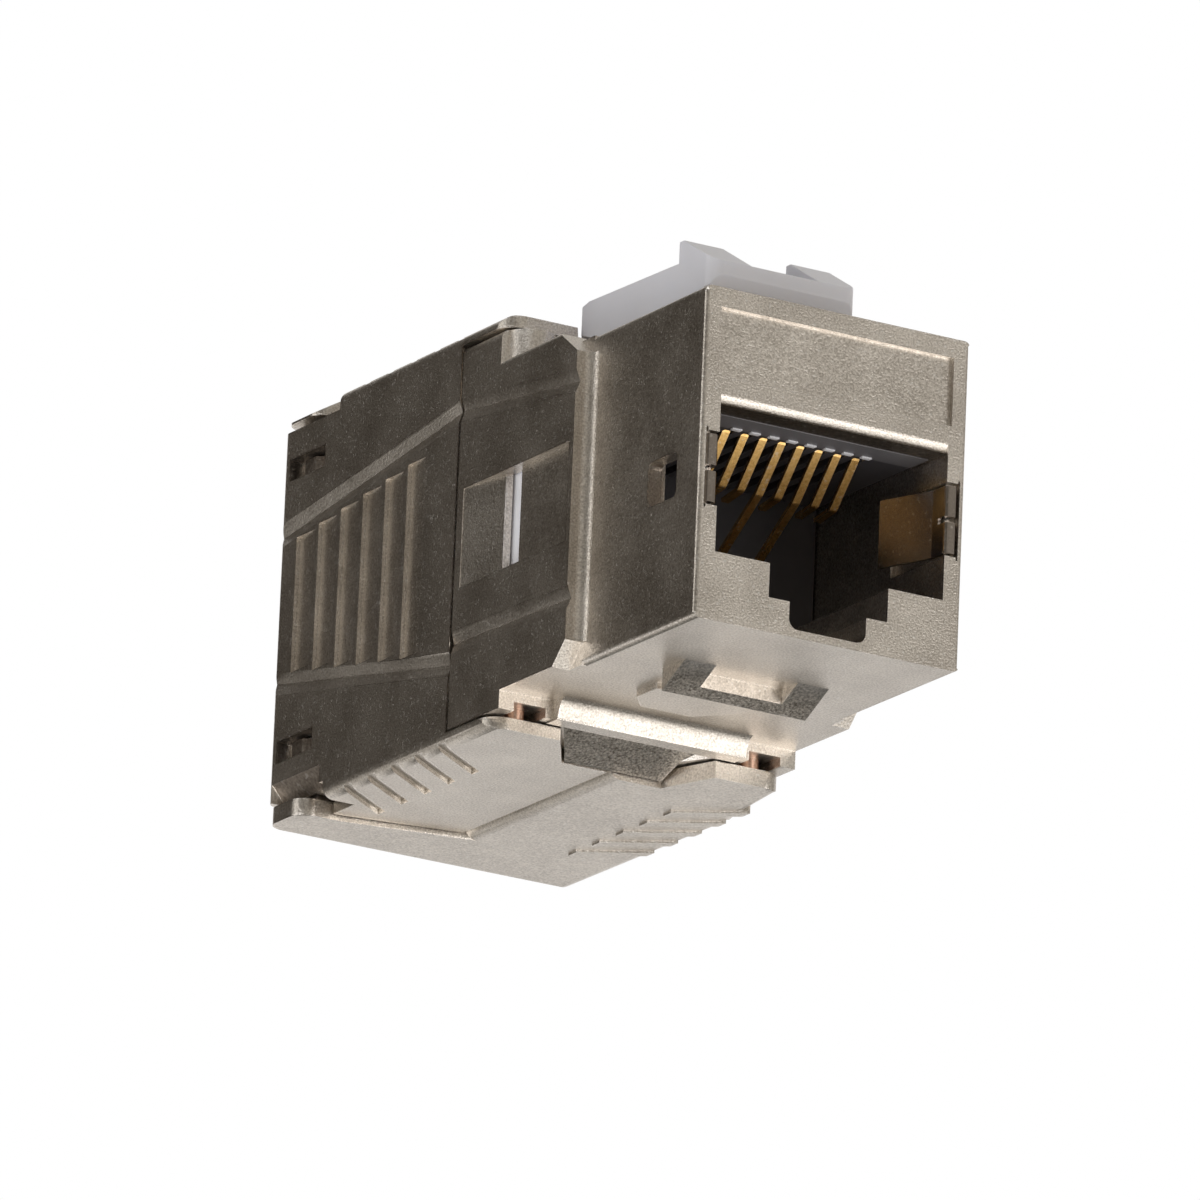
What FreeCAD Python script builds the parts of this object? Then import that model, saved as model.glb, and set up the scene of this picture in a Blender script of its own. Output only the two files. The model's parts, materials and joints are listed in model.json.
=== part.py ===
"""Shielded keystone jack: a die-cast housing with a plug port in front, a white snap latch on top,
and two hinged die-cast wings that close over the wire cap at the rear.

Frame, in millimetres: the front face lies in y = 0 and y runs to the rear, x = 0 is the middle
plane, z points up to the snap latch and z = 0 is the middle of the front face.
"""
import FreeCAD, Part
import math
import os

V = FreeCAD.Vector

# ---------------------------------------------------------------- driving dimensions, front block
FACE_WIDTH = 14.5
FACE_HEIGHT = 16.2
FACE_TOP = FACE_HEIGHT / 2
FACE_BOTTOM = -FACE_HEIGHT / 2
SHOULDER_Y = 10.1          # the panel shoulder, behind the front block
BLOCK_ROUND = 0.3
PORT_WIDTH = 12.5
PORT_HEIGHT = 7.25
PORT_DEPTH = 11.6
PORT_LIP = 0.45            # rounding of the lip above the port
TAB_WALL = 0.4             # under the plug's latch slot
TAB_STEP = 1.3
TAB_FLOOR = FACE_BOTTOM + TAB_WALL
TAB_WIDTH = 4.2            # lower step of the plug's latch slot
TAB_ROUND = 0.5
KEY_STEP = 1.65
KEY_WIDTH = 6.5            # upper step of the plug's latch slot
KEY_FLOOR = TAB_FLOOR + TAB_STEP
PORT_FLOOR = KEY_FLOOR + KEY_STEP
PORT_TOP = PORT_FLOOR + PORT_HEIGHT
SHELF_Y = 5.2              # web that crosses the latch slot
SHELF_THICK = 0.5
LABEL_WIDTH = 12.8
LABEL_RISE = 1.3           # of the label field above the port
LABEL_MARGIN = 0.95        # above the label field
LABEL_DEPTH = 0.25

# ---------------------------------------------------------------- hinges
HINGE_INSET = 1.7          # of the hinges' axes from the body's side faces
HINGE_Y = 17.5
PIN_DIAMETER = 1.0
PIN_FIT = 0.02             # radial room of the pin in the housing
PIN_RUN = 0.06             # radial room of the pin in the wing
PIN_BELOW_DECK = 0.95      # how deep the upper pins go into the body
PIN_IN_FLOOR = 0.3         # how deep the lower pins go into the body
PIN_IN_WING = 0.4
BODY_GAP = 0.1             # between the body and the wings' plates
SEAM_GAP = 0.15            # between all other faces that part when the wings open

# ---------------------------------------------------------------- rear body of the housing
BODY_HALF = 8.2
HINGE_X = BODY_HALF - HINGE_INSET
BODY_RISE = 1.95           # of the rear body's top above the block
BODY_TOP = FACE_TOP + BODY_RISE
BODY_LENGTH_BEHIND = 3.25  # from the hinges to the seam with the wings
BODY_END = HINGE_Y + BODY_LENGTH_BEHIND
BODY_WALL = 0.75
BODY_ROUND = 0.5
DECK_RISE = 0.35           # of the lower deck between the shoulder and the hinges
DECK_TOP = FACE_TOP + DECK_RISE
DECK_ROUND = 0.25
DECK_REAR = HINGE_Y - 0.3
DECK_SLOPE_LENGTH = 1.7    # the deck's front end slopes down to the shoulder
DECK_SLOPE_HEIGHT = 1.25
KNUCKLE_RADIUS = 1.25      # boss round each upper hinge pin
SEAT_WALL = 0.6            # of the latch's seat on the deck
CARRIER_WALL = 1.4         # rear wall of the port
CHAMBER_FRONT = PORT_DEPTH + CARRIER_WALL
ROOF_THICK = 1.0
FLOOR_THICK = 0.7
CHAMBER_TOP = FACE_TOP - ROOF_THICK
CHAMBER_FLOOR = FACE_BOTTOM + FLOOR_THICK
SHOULDER_ROUND = 0.57      # hollow between the block's side and the shoulder
SHOULDER_CUT = 1.1         # slope at the shoulder's lower end
EAR_HALF = 5.2             # the beam under the body ends and the ears begin here
EAR_FRONT = HINGE_Y - 2.0
EAR_DROP = 0.9             # of the ears below the block
EAR_BOTTOM = FACE_BOTTOM - EAR_DROP
BEAM_DROP = 0.35           # of the beam below the ears
BEAM_BOTTOM = EAR_BOTTOM - BEAM_DROP
BEAM_ROUND = 1.1           # hollow that leads from the block's underside to the beam
KEEL_TOP = FACE_BOTTOM - 0.2
POCKET_WIDTH = 1.9
POCKET_HEIGHT = 0.75
POCKET_DEPTH = 2.9
SIDE_GROOVE_WIDTH = 1.2
SIDE_GROOVE_DEPTH = 0.25
BODY_GROOVE_UPPER = (5.65, 6.9)      # heights at the shoulder and at the seam
BODY_GROOVE_LOWER = (-4.95, -4.7)
CHANNEL_TOP = 2.8          # recessed channel in each side of the body
CHANNEL_BOTTOM = -2.1
CHANNEL_DEPTH = 0.35
CHANNEL_REAR = 20.2
WINDOW_FRONT = 14.7        # opening through the channel's floor
WINDOW_REAR = 16.4

# ---------------------------------------------------------------- wings
WING_END = 37.9
WING_WALL = 0.9
WING_TOP = BODY_TOP + BODY_GAP          # inner face of the upper plates
WING_BOTTOM = EAR_BOTTOM - BODY_GAP     # inner face of the lower plates
LEFT_PLATE = 0.6
RIGHT_PLATE = 0.85
WING_ROUND = 0.6
RIGHT_BULGE = 0.8          # the right wing's side swells by this much
BULGE_REAR = 24.0          # the swelling is complete from here to the rear
PLATE_FRONT = HINGE_Y - 0.7
BEAM_REAR = PLATE_FRONT - 0.2
PLATE_ROUND = 1.2          # outer front corners of the plates
WING_END_ROUND = 0.6       # outer rear corners of the wings
CUT_FRONT_HALF = 4.3       # trapezoid cut-out in front, open for the latch and the keel
CUT_REAR_HALF = 2.3
CUT_REAR = 20.0
SEAM_X = 0.3
STRIP_LENGTH = 4.5         # of the right wing's rear strips, at the seam
SEAM_Y = WING_END - STRIP_LENGTH
SEAM_SLANT = 1.2           # it lies further back towards the left edge
SEAM_SLANT_X = -5.8
LEFT_CORNER_Y = SEAM_Y - 0.95           # the left wing's full height ends here
LEFT_REAR_TOP = WING_TOP - 0.37
LEFT_REAR_BOTTOM = WING_BOTTOM + 0.25
STRIP_BEVEL_WIDTH = 1.3    # bevel of the upper rear strip along the left edge
STRIP_BEVEL_HEIGHT = 0.75
STRIP_ROUND = 0.9
LAP_THICK = 0.5            # ledges under the right wing's rear strips
LAP_FRONT = SEAM_Y - 1.1
PRY_HEIGHT = 0.9
REAR_WALL = 1.0
CABLE_DIAMETER = 7.4
CABLE_Z = (WING_TOP + WING_BOTTOM) / 2
WING_GROOVE_UPPER = (6.95, 4.55)     # heights at the seam and at the rear end
WING_GROOVE_LOWER = (-5.85, -2.75)
RIB_COUNT = 6
RIB_PITCH = 2.1
RIB_FRONT = 25.0
RIB_DEPTH = 0.4
RIB_TOP = (5.3, 4.2)       # upper ends of the first and the last rib
RIB_BOTTOM = (-4.4, -2.6)
RIB_LAND = 0.35
GRIP_COUNT = 5
GRIP_PITCH = 2.2
GRIP_FRONT = 21.0
GRIP_SPREAD = 3.57         # across the plate
GRIP_SLANT = 2.73          # along the plate
GRIP_WIDTH = 0.7
GRIP_DEPTH = 0.22

# ---------------------------------------------------------------- hook and pad under the block
CLAW_WIDTH = 7.9
CLAW_FRONT = 6.15
CLAW_REAR = 8.2
CLAW_HEIGHT = 1.07
CLAW_POCKET = 4.5
CLAW_BAR = 0.65
PAD_WIDTH = 6.0
PAD_SETBACK = 0.15         # of the pad's front behind the plane of the shoulder
PAD_REAR = 13.3
PAD_HEIGHT = 0.3

# ---------------------------------------------------------------- snap latch
LATCH_HALF = 4.05
LATCH_RISE = 1.75          # of the lever's top above the body
LATCH_TOP = BODY_TOP + LATCH_RISE
LATCH_THICK = 1.9
LATCH_FRONT = 5.0
LATCH_REAR = 19.4
LATCH_HUMP = 0.2           # the lever is highest just in front of its root
LATCH_NOSE_TOP = LATCH_TOP - 0.5
LATCH_CORNER_ROUND = 0.7
ROOT_RISE = 0.4            # of the lever's root above the body
TOOTH_HEIGHT = 1.05
TOOTH_REAR = 8.1
TOOTH_WIDTH = 2.2
TOOTH_LAND = 0.4
FOOT_HALF = 1.8
FOOT_LENGTH = 1.6
FOOT_DEPTH = 0.9
LATCH_CLEARANCE = 0.2
LATCH_RECESS = 1.15        # depth of the hollow under the lever, at the shoulder

# ---------------------------------------------------------------- contacts and their carrier
CONTACT_COUNT = 8
CONTACT_PITCH = 1.02
CONTACT_WIDTH = 0.4
CONTACT_THICK = 0.2
CONTACT_BEND = 0.25
CONTACT_SLOT = 0.56
CONTACT_Z = PORT_TOP + 0.95          # level of the contacts inside their carrier
CONTACT_FRONT = 3.9
CONTACT_FOLD = 0.75        # drop of the fold in front
CONTACT_TIP_BACK = 1.95    # lowest point of the sprung arm, behind the fold
CONTACT_TIP_DROP = 2.9
CONTACT_END_BACK = 1.35    # end of a short contact, behind and below its tip
CONTACT_END_DROP = 0.2
LOW_END_GAP = 2.6          # end of a long contact, in front of the port's rear wall
LOW_END_DROP = 5.05
LOW_CONTACTS = (4, 6)      # these two run on down to the carrier's rear wall
CARRIER_FRONT = 3.1
CARRIER_TOP = FACE_TOP - 1.2
CARRIER_SLOPE_LENGTH = 2.2
CARRIER_SLOPE_FOOT = 1.6
COMB_OPEN = 0.35           # of the comb in front of the contacts' fold
INNER_GAP = 0.06

# ---------------------------------------------------------------- board, wiring block and cap
BOARD_THICK = 1.2
BOARD_MARGIN = 0.1         # above and below the board and the wiring block
BOARD_SIDE_GAP = 0.15
BOARD_HOLE = 0.7
IDC_GAP = 0.35             # between the board and the wiring block
IDC_SIDE_GAP = 0.12
IDC_BASE = 4.4
IDC_TOWER_LENGTH = 5.0
CAP_SIDE_GAP = 0.4
CAP_HALF = BODY_HALF - WING_WALL - CAP_SIDE_GAP
TOWER_WIDTH = 2.3
TOWER_HEIGHT = 3.6
TOWER_MARGIN = 0.95        # of the cap beside the outer towers
TOWER_PITCH = (CAP_HALF - TOWER_WIDTH / 2 - TOWER_MARGIN) / 1.5
TOWER_TOP_GAP = 0.875      # between the upper towers and the chamber's roof
TOWER_ROW = CHAMBER_TOP - TOWER_TOP_GAP - TOWER_HEIGHT / 2 - CABLE_Z
TOWER_SLOT = 0.8
TOWER_END = 0.8            # of a tower behind its blade
SPINE_INSET = 2.0
SPINE_HALF = CAP_HALF - SPINE_INSET     # rib between the two rows of towers
SPINE_LENGTH = 1.2
SPINE_THICK = 1.2
BLADE_WIDTH = 1.5
BLADE_THICK = 0.4
BLADE_SLOT = 0.35
BLADE_TAIL = 0.5
BLADE_ROOM = 0.06
CAP_EDGE = 0.4             # of the cap above and below the towers
CAP_HEIGHT = 2 * (TOWER_ROW + TOWER_HEIGHT / 2 + CAP_EDGE)
CAP_FRONT_GAP = 0.3
CAP_REAR_ROOM = 3.65       # run of the cap to the closed wings' rear walls
CAP_ROUND = 1.0
CAP_ROOM = 0.15            # round the towers
WIRE_SLOT = 1.2
WIRE_SLOT_DEPTH = 3.0
BOWL_RADIUS = 2.6
BOWL_FLOOR = 1.2

# ---------------------------------------------------------------- closing hooks and their slots
HOOK_HEIGHT = 0.8
HOOK_FRONT = WING_END - 3.1
HOOK_LENGTH = 1.5
HOOK_REACH = 0.65          # how far the hook's nose enters the slot
HOOK_THICK = 0.9
SLOT_FRONT = HOOK_FRONT - 1.1           # hook slots in the left wing's side
SLOT_LENGTH = 3.4
SLOT_HEIGHT = 1.1
HOOK_ABOVE_CAP = 0.775
HOOK_BELOW_CAP = 0.425
UPPER_SLOT_Z = CABLE_Z + CAP_HEIGHT / 2 + HOOK_ABOVE_CAP + HOOK_HEIGHT / 2
LOWER_SLOT_Z = CABLE_Z - CAP_HEIGHT / 2 - HOOK_BELOW_CAP - HOOK_HEIGHT / 2

# ---------------------------------------------------------------- ground clips
CLIP_THICK = 0.2
CLIP_TOP = 0.9
CLIP_BOTTOM = -2.4
CLIP_LENGTH = 4.2
CLIP_BEND = 1.0
CLIP_SLIT = 0.3
CLIP_SEAT = 0.7            # width and depth of the pocket for the clip's fold
CLIP_SEAT_DEPTH = 0.5
CLIP_SEAT_ROOM = 0.15      # above and below the clip
CLIP_HOOK = 0.55
CLIP_FOLD = 0.12
SIDE_WINDOW_FRONT = 2.1    # small windows beside the clips
SIDE_WINDOW_REAR = 4.7
SIDE_WINDOW_TOP = 0.45
SIDE_WINDOW_BOTTOM = -1.75


# ---------------------------------------------------------------- drawing helpers
def prism_x(points, x0, x1):
    """Solid between x0 and x1 whose section is the outline of (y, z) points."""
    wire = Part.makePolygon([V(x0, y, z) for y, z in points + points[:1]])
    return Part.Face(wire).extrude(V(x1 - x0, 0, 0))


def prism_y(points, y0, y1):
    """Solid between y0 and y1 whose section is the outline of (x, z) points."""
    wire = Part.makePolygon([V(x, y0, z) for x, z in points + points[:1]])
    return Part.Face(wire).extrude(V(0, y1 - y0, 0))


def prism_z(points, z0, z1):
    """Solid between z0 and z1 whose section is the outline of (x, y) points."""
    wire = Part.makePolygon([V(x, y, z0) for x, y in points + points[:1]])
    return Part.Face(wire).extrude(V(0, 0, z1 - z0))


def block(x0, x1, y0, y1, z0, z1):
    return Part.makeBox(x1 - x0, y1 - y0, z1 - z0, V(x0, y0, z0))


def post(x, y, z0, z1, radius):
    return Part.makeCylinder(radius, z1 - z0, V(x, y, z0))


def edges_along(solid, axis, test):
    """Straight edges of the solid along the axis whose middle point passes the test."""
    found = []
    for edge in solid.Edges:
        if not isinstance(edge.Curve, Part.Line):
            continue
        run = edge.Vertexes[-1].Point - edge.Vertexes[0].Point
        if abs(abs(run.dot(axis)) - run.Length) < 1e-6:
            middle = (edge.Vertexes[-1].Point + edge.Vertexes[0].Point) * 0.5
            if test(middle):
                found.append(edge)
    return found


def mirrored(solid):
    return solid.mirror(V(0, 0, 0), V(1, 0, 0))


def left_corner(y, rearward, radius, half):
    """Cutter that rounds an upright outer corner at the left side: rearward is -1 in front, 1 behind."""
    deep = BODY_HALF * 2
    y0, y1 = sorted((y - rearward * radius, y + rearward))
    corner = block(-half - 1, -half + radius, y0, y1, -deep, deep)
    return corner.cut(post(-half + radius, y - rearward * radius, -deep, deep, radius))


def folded_strip(path, thick, x0, x1, bend=0.0):
    """Sheet of even thickness along a path of (y, z) points, with corners rounded to a radius."""
    middle = []
    for index, point in enumerate(path):
        if bend == 0.0 or index in (0, len(path) - 1):
            middle.append(V(point[0], point[1], 0))
            continue
        here = V(point[0], point[1], 0)
        back = (V(path[index - 1][0], path[index - 1][1], 0) - here).normalize()
        ahead = (V(path[index + 1][0], path[index + 1][1], 0) - here).normalize()
        half = back.getAngle(ahead) / 2
        reach = bend / math.tan(half)
        centre = here + (back + ahead).normalize() * (bend / math.sin(half))
        start = here + back * reach - centre
        end = here + ahead * reach - centre
        for step in range(4):
            share = step / 3
            spoke = start * (1 - share) + end * share
            middle.append(centre + spoke.normalize() * bend)
    sides = [], []
    for index, point in enumerate(middle):
        before = (point - middle[index - 1]).normalize() if index else None
        after = (middle[index + 1] - point).normalize() if index < len(middle) - 1 else before
        before = before or after
        normal = V(-(before.y + after.y), before.x + after.x, 0).normalize()
        reach = thick / 2 / math.cos(before.getAngle(after) / 2)
        sides[0].append((point.x + normal.x * reach, point.y + normal.y * reach))
        sides[1].append((point.x - normal.x * reach, point.y - normal.y * reach))
    return prism_x(sides[0] + sides[1][::-1], x0, x1)


def side_groove(y0, z0, y1, z1, half, swell=0.0):
    """Cutter for a V groove in the left side face, from (y0, z0) to (y1, z1)."""
    depth = SIDE_GROOVE_DEPTH
    spread = SIDE_GROOVE_WIDTH / 2 * (depth + 1) / depth
    section = [V(-half - 1, y0, z0 + spread), V(-half + depth, y0, z0), V(-half - 1, y0, z0 - spread)]
    return Part.Face(Part.makePolygon(section + section[:1])).extrude(V(-swell, y1 - y0, z1 - z0))


# ---------------------------------------------------------------- housing
def front_block():
    half = FACE_WIDTH / 2
    body = block(-half, half, 0, SHOULDER_Y + 1, FACE_BOTTOM, FACE_TOP)
    body = body.makeFillet(BLOCK_ROUND, edges_along(body, V(0, 1, 0), lambda p: True))
    label = block(-LABEL_WIDTH / 2, LABEL_WIDTH / 2, 0, LABEL_DEPTH, PORT_TOP + LABEL_RISE, FACE_TOP - LABEL_MARGIN)
    return body.cut(label)


def port_space():
    """Everything that is hollow from the front face to the chamber."""
    half = PORT_WIDTH / 2
    main = block(-half, half, 0, CHAMBER_FRONT, PORT_FLOOR, PORT_TOP)
    lip = block(-half, half, 0, PORT_LIP, PORT_TOP, PORT_TOP + PORT_LIP)
    lip = lip.cut(Part.makeCylinder(PORT_LIP, PORT_WIDTH, V(-half, PORT_LIP, PORT_TOP + PORT_LIP), V(1, 0, 0)))
    key = block(-KEY_WIDTH / 2, KEY_WIDTH / 2, 0, PORT_DEPTH, KEY_FLOOR, PORT_FLOOR)
    tab = block(-TAB_WIDTH / 2, TAB_WIDTH / 2, 0, PORT_DEPTH, TAB_FLOOR, KEY_FLOOR)
    tab = tab.makeFillet(TAB_ROUND, edges_along(tab, V(0, 1, 0), lambda p: p.z < KEY_FLOOR - 0.1))
    shelf = block(-TAB_WIDTH / 2, TAB_WIDTH / 2, SHELF_Y, PORT_DEPTH, KEY_FLOOR - SHELF_THICK, KEY_FLOOR)
    carrier_room = block(-half, half, CARRIER_FRONT, CHAMBER_FRONT, PORT_TOP, CARRIER_TOP)
    return main.fuse([lip, key, tab.cut(shelf), carrier_room])


def claw():
    """Hook under the block: a ramp with a pocket that leaves a bar at the rear."""
    floor = FACE_BOTTOM
    ramp = [(CLAW_FRONT, floor + 0.2), (CLAW_FRONT, floor), (CLAW_REAR, floor - CLAW_HEIGHT)]
    solid = prism_x(ramp + [(CLAW_REAR, floor + 0.2)], -CLAW_WIDTH / 2, CLAW_WIDTH / 2)
    pocket = block(-CLAW_POCKET / 2, CLAW_POCKET / 2, CLAW_FRONT - 1, CLAW_REAR - CLAW_BAR,
                   floor - CLAW_HEIGHT - 1, floor)
    return solid.cut(pocket)


def pad():
    floor = FACE_BOTTOM
    slope = PAD_HEIGHT * 2
    half = PAD_WIDTH / 2
    front = SHOULDER_Y + PAD_SETBACK
    outline = [(-half, front), (half, front), (half, PAD_REAR - slope * 2)]
    outline += [(half - slope * 1.6, PAD_REAR), (slope * 1.6 - half, PAD_REAR), (-half, PAD_REAR - slope * 2)]
    return prism_z(outline, floor - PAD_HEIGHT, floor + 0.2)


def rear_body():
    """Outer form of the body behind the shoulder, with beam and ears under it."""
    floor = FACE_BOTTOM
    reach = BODY_END + 2
    lower = block(-BODY_HALF, BODY_HALF, SHOULDER_Y, reach, floor, DECK_TOP)
    lower = lower.makeFillet(DECK_ROUND, edges_along(lower, V(0, 1, 0), lambda p: p.z > 0))
    upper = block(-BODY_HALF, BODY_HALF, DECK_REAR, reach, floor, BODY_TOP)
    upper = upper.makeFillet(BODY_ROUND, edges_along(upper, V(0, 1, 0), lambda p: p.z > 0))
    body = lower.fuse(upper)
    front_slope = prism_x([(SHOULDER_Y - 1, DECK_TOP + 1), (SHOULDER_Y - 1, DECK_TOP - DECK_SLOPE_HEIGHT),
                           (SHOULDER_Y, DECK_TOP - DECK_SLOPE_HEIGHT),
                           (SHOULDER_Y + DECK_SLOPE_LENGTH, DECK_TOP),
                           (SHOULDER_Y + DECK_SLOPE_LENGTH, DECK_TOP + 1)], -BODY_HALF - 1, BODY_HALF + 1)
    slope = prism_x([(SHOULDER_Y, floor), (SHOULDER_Y, floor + SHOULDER_CUT), (SHOULDER_Y + SHOULDER_CUT, floor)],
                    -BODY_HALF - 1, BODY_HALF + 1)
    inner = block(-FACE_WIDTH / 2, FACE_WIDTH / 2, 0, reach, floor - 1, FACE_TOP)
    body = body.cut([front_slope.cut(inner), slope.cut(inner)])

    seat_half = FOOT_HALF + LATCH_CLEARANCE + SEAT_WALL
    seat_front = HINGE_Y - FOOT_LENGTH / 2 - LATCH_CLEARANCE - SEAT_WALL
    parts = [block(-seat_half, seat_half, seat_front, HINGE_Y, DECK_TOP - ROOF_THICK / 2, BODY_TOP)]
    for x in (-HINGE_X, HINGE_X):
        parts.append(post(x, HINGE_Y, DECK_TOP - ROOF_THICK / 2, BODY_TOP, KNUCKLE_RADIUS))

    parts.append(block(-BODY_HALF, BODY_HALF, EAR_FRONT, reach, EAR_BOTTOM, floor))
    parts.append(block(-EAR_HALF, EAR_HALF, EAR_FRONT, BEAM_REAR, BEAM_BOTTOM, EAR_BOTTOM))
    hollow = BEAM_ROUND
    corner = block(-BODY_HALF, BODY_HALF, EAR_FRONT - hollow, EAR_FRONT, floor - hollow, floor)
    centre = V(-BODY_HALF, EAR_FRONT - hollow, floor - hollow)
    corner = corner.cut(Part.makeCylinder(hollow, 2 * BODY_HALF, centre, V(1, 0, 0)))
    parts.append(corner.cut(block(-BODY_HALF, BODY_HALF, 0, EAR_FRONT, BEAM_BOTTOM - 1, EAR_BOTTOM)))
    keel, trough = keel_and_trough()
    return body.fuse(parts).cut(trough).fuse(keel)


def cut_out_half(y):
    """Half width of the plates' front cut-out at a distance y from the front face."""
    slant = (CUT_FRONT_HALF - CUT_REAR_HALF) / (CUT_REAR - PLATE_FRONT)
    return CUT_FRONT_HALF - slant * (y - PLATE_FRONT)


def keel_and_trough():
    """Ramp under the body in the front cut-out of the lower plates, and the space in front of it."""
    depth = WING_BOTTOM - LEFT_PLATE + BODY_GAP / 2
    front = cut_out_half(BEAM_REAR) - SEAM_GAP
    rear = CUT_REAR - SEAM_GAP
    back = cut_out_half(rear) - SEAM_GAP
    plan = [(-front, BEAM_REAR), (front, BEAM_REAR), (back, rear), (-back, rear)]
    below = prism_x([(BEAM_REAR, depth - 1), (rear, depth - 1), (rear, depth), (BEAM_REAR, KEEL_TOP)],
                    -BODY_HALF, BODY_HALF)
    keel = prism_z(plan, depth, EAR_BOTTOM + BODY_GAP).cut(below)
    return keel, prism_z(plan, depth, KEEL_TOP).common(below)


def shoulder_hollows():
    """Concave roundings that lead from the block's sides out to the shoulder."""
    parts = []
    top = DECK_TOP - DECK_SLOPE_HEIGHT
    low = FACE_BOTTOM + SHOULDER_CUT
    half = FACE_WIDTH / 2
    side = min(SHOULDER_ROUND, BODY_HALF - half)
    for sign in (-1, 1):
        edge = sign * half
        x0, x1 = sorted((edge, edge + sign * side))
        corner = block(x0, x1, SHOULDER_Y - side, SHOULDER_Y, low, top)
        round_cut = post(edge + sign * side, SHOULDER_Y - side, low, top, side)
        parts.append(corner.cut(round_cut))
    return parts


def chamber():
    """The space behind the port, open to the rear, for the board and the wiring block."""
    inner = BODY_HALF - BODY_WALL
    return block(-inner, inner, CHAMBER_FRONT, BODY_END + 3, CHAMBER_FLOOR, CHAMBER_TOP)


def latch_recess():
    """Hollow under the latch's lever, and the seat of its foot."""
    half = LATCH_HALF + LATCH_CLEARANCE
    deep = BODY_TOP - LATCH_RECESS
    wedge = prism_x([(SHOULDER_Y - 1, deep), (HINGE_Y - 0.3, BODY_TOP - LATCH_CLEARANCE),
                     (HINGE_Y - 0.3, BODY_TOP + 1), (SHOULDER_Y - 1, BODY_TOP + 1)], -half, half)
    seat_half = FOOT_HALF + LATCH_CLEARANCE
    seat_y = FOOT_LENGTH / 2 + LATCH_CLEARANCE
    seat = block(-seat_half, seat_half, HINGE_Y - seat_y, HINGE_Y + seat_y,
                 BODY_TOP - FOOT_DEPTH - LATCH_CLEARANCE, BODY_TOP + 1)
    return wedge.fuse(seat)


def side_details():
    """Cutters for the left side of the body; the right side mirrors them."""
    grooves = []
    for front_z, rear_z in (BODY_GROOVE_UPPER, BODY_GROOVE_LOWER):
        grooves.append(side_groove(SHOULDER_Y - 0.5, front_z, BODY_END + 0.5, rear_z, BODY_HALF))
    channel = block(-BODY_HALF - 1, -BODY_HALF + CHANNEL_DEPTH, SHOULDER_Y + 0.4, CHANNEL_REAR,
                    CHANNEL_BOTTOM, CHANNEL_TOP)
    window = block(-BODY_HALF - 1, -BODY_HALF + BODY_WALL + 0.2, WINDOW_FRONT, WINDOW_REAR,
                   CHANNEL_BOTTOM, CHANNEL_TOP)
    pocket_low = EAR_BOTTOM + BODY_GAP / 2
    pocket = block(-HINGE_X - POCKET_WIDTH / 2, -HINGE_X + POCKET_WIDTH / 2, EAR_FRONT - 1,
                   EAR_FRONT + POCKET_DEPTH, pocket_low, pocket_low + POCKET_HEIGHT)
    return grooves + [channel, window, pocket]


def pin_bores(radius, room):
    """Cylinders for the four hinge pins, at the given radius and with room at the ends."""
    bores = []
    for x in (-HINGE_X, HINGE_X):
        bores.append(post(x, HINGE_Y, DECK_TOP - PIN_BELOW_DECK - room, WING_TOP + PIN_IN_WING + room, radius))
        bores.append(post(x, HINGE_Y, WING_BOTTOM - PIN_IN_WING - room, FACE_BOTTOM + PIN_IN_FLOOR + room, radius))
    return bores


def hinge_reach():
    """Distance from a hinge's axis to the outer corner of the body's rear edge."""
    return math.hypot(HINGE_INSET, BODY_LENGTH_BEHIND)


def clip_slots():
    """Slits in the port's side walls that hold the ground clips, and the small side windows."""
    half = PORT_WIDTH / 2
    low = CLIP_BOTTOM - CLIP_SEAT_ROOM
    top = CLIP_TOP + CLIP_SEAT_ROOM
    slit = block(half - 0.1, half + CLIP_SEAT, -0.1, CLIP_SEAT_DEPTH, low, top)
    groove = block(half - 0.1, half + CLIP_THICK + INNER_GAP, -0.1, CLIP_LENGTH + 0.6, low, top)
    line = block(half + CLIP_SEAT - 0.08, half + CLIP_SEAT + 0.02, -0.1, CLIP_SEAT_DEPTH,
                 low - CLIP_SEAT_ROOM, top + CLIP_SEAT_ROOM)
    window = block(half, FACE_WIDTH / 2 + 1, SIDE_WINDOW_FRONT, SIDE_WINDOW_REAR,
                   SIDE_WINDOW_BOTTOM, SIDE_WINDOW_TOP)
    window = window.makeFillet(BLOCK_ROUND, edges_along(window, V(1, 0, 0), lambda p: True))
    return [slit, groove, line, window]


def make_housing():
    solid = front_block().fuse([claw(), pad(), rear_body()] + shoulder_hollows())
    cutters = [port_space(), chamber(), latch_recess()]
    for cutter in side_details() + clip_slots():
        cutters += [cutter, mirrored(cutter)]
    cutters += pin_bores(PIN_DIAMETER / 2 + PIN_FIT, PIN_FIT)
    solid = solid.cut(cutters)
    # The rear edges of the side walls follow circles about the hinges, so the wings clear them.
    reach = BODY_END + 3
    behind = block(-BODY_HALF - 1, BODY_HALF + 1, HINGE_Y + 1, reach, -BODY_HALF * 2, BODY_HALF * 2)
    keep = block(-HINGE_X, HINGE_X, HINGE_Y, BODY_END, -BODY_HALF * 2, BODY_HALF * 2)
    for x in (-HINGE_X, HINGE_X):
        keep = keep.fuse(post(x, HINGE_Y, -BODY_HALF * 2, BODY_HALF * 2, hinge_reach()))
    return solid.cut(behind.cut(keep)).removeSplitter()


# ---------------------------------------------------------------- wings
def wing_section(plate, seam_x):
    """C section of a left wing: side wall with the upper and lower plates."""
    top = WING_TOP + plate
    bottom = WING_BOTTOM - plate
    outer = block(-BODY_HALF, seam_x, PLATE_FRONT, WING_END, bottom, top)
    outer = outer.makeFillet(WING_ROUND, edges_along(outer, V(0, 1, 0), lambda p: p.x < 0))
    inner = block(-BODY_HALF + WING_WALL, seam_x + 1, PLATE_FRONT - 1, WING_END + 1, WING_BOTTOM, WING_TOP)
    return outer.cut(inner)


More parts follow.
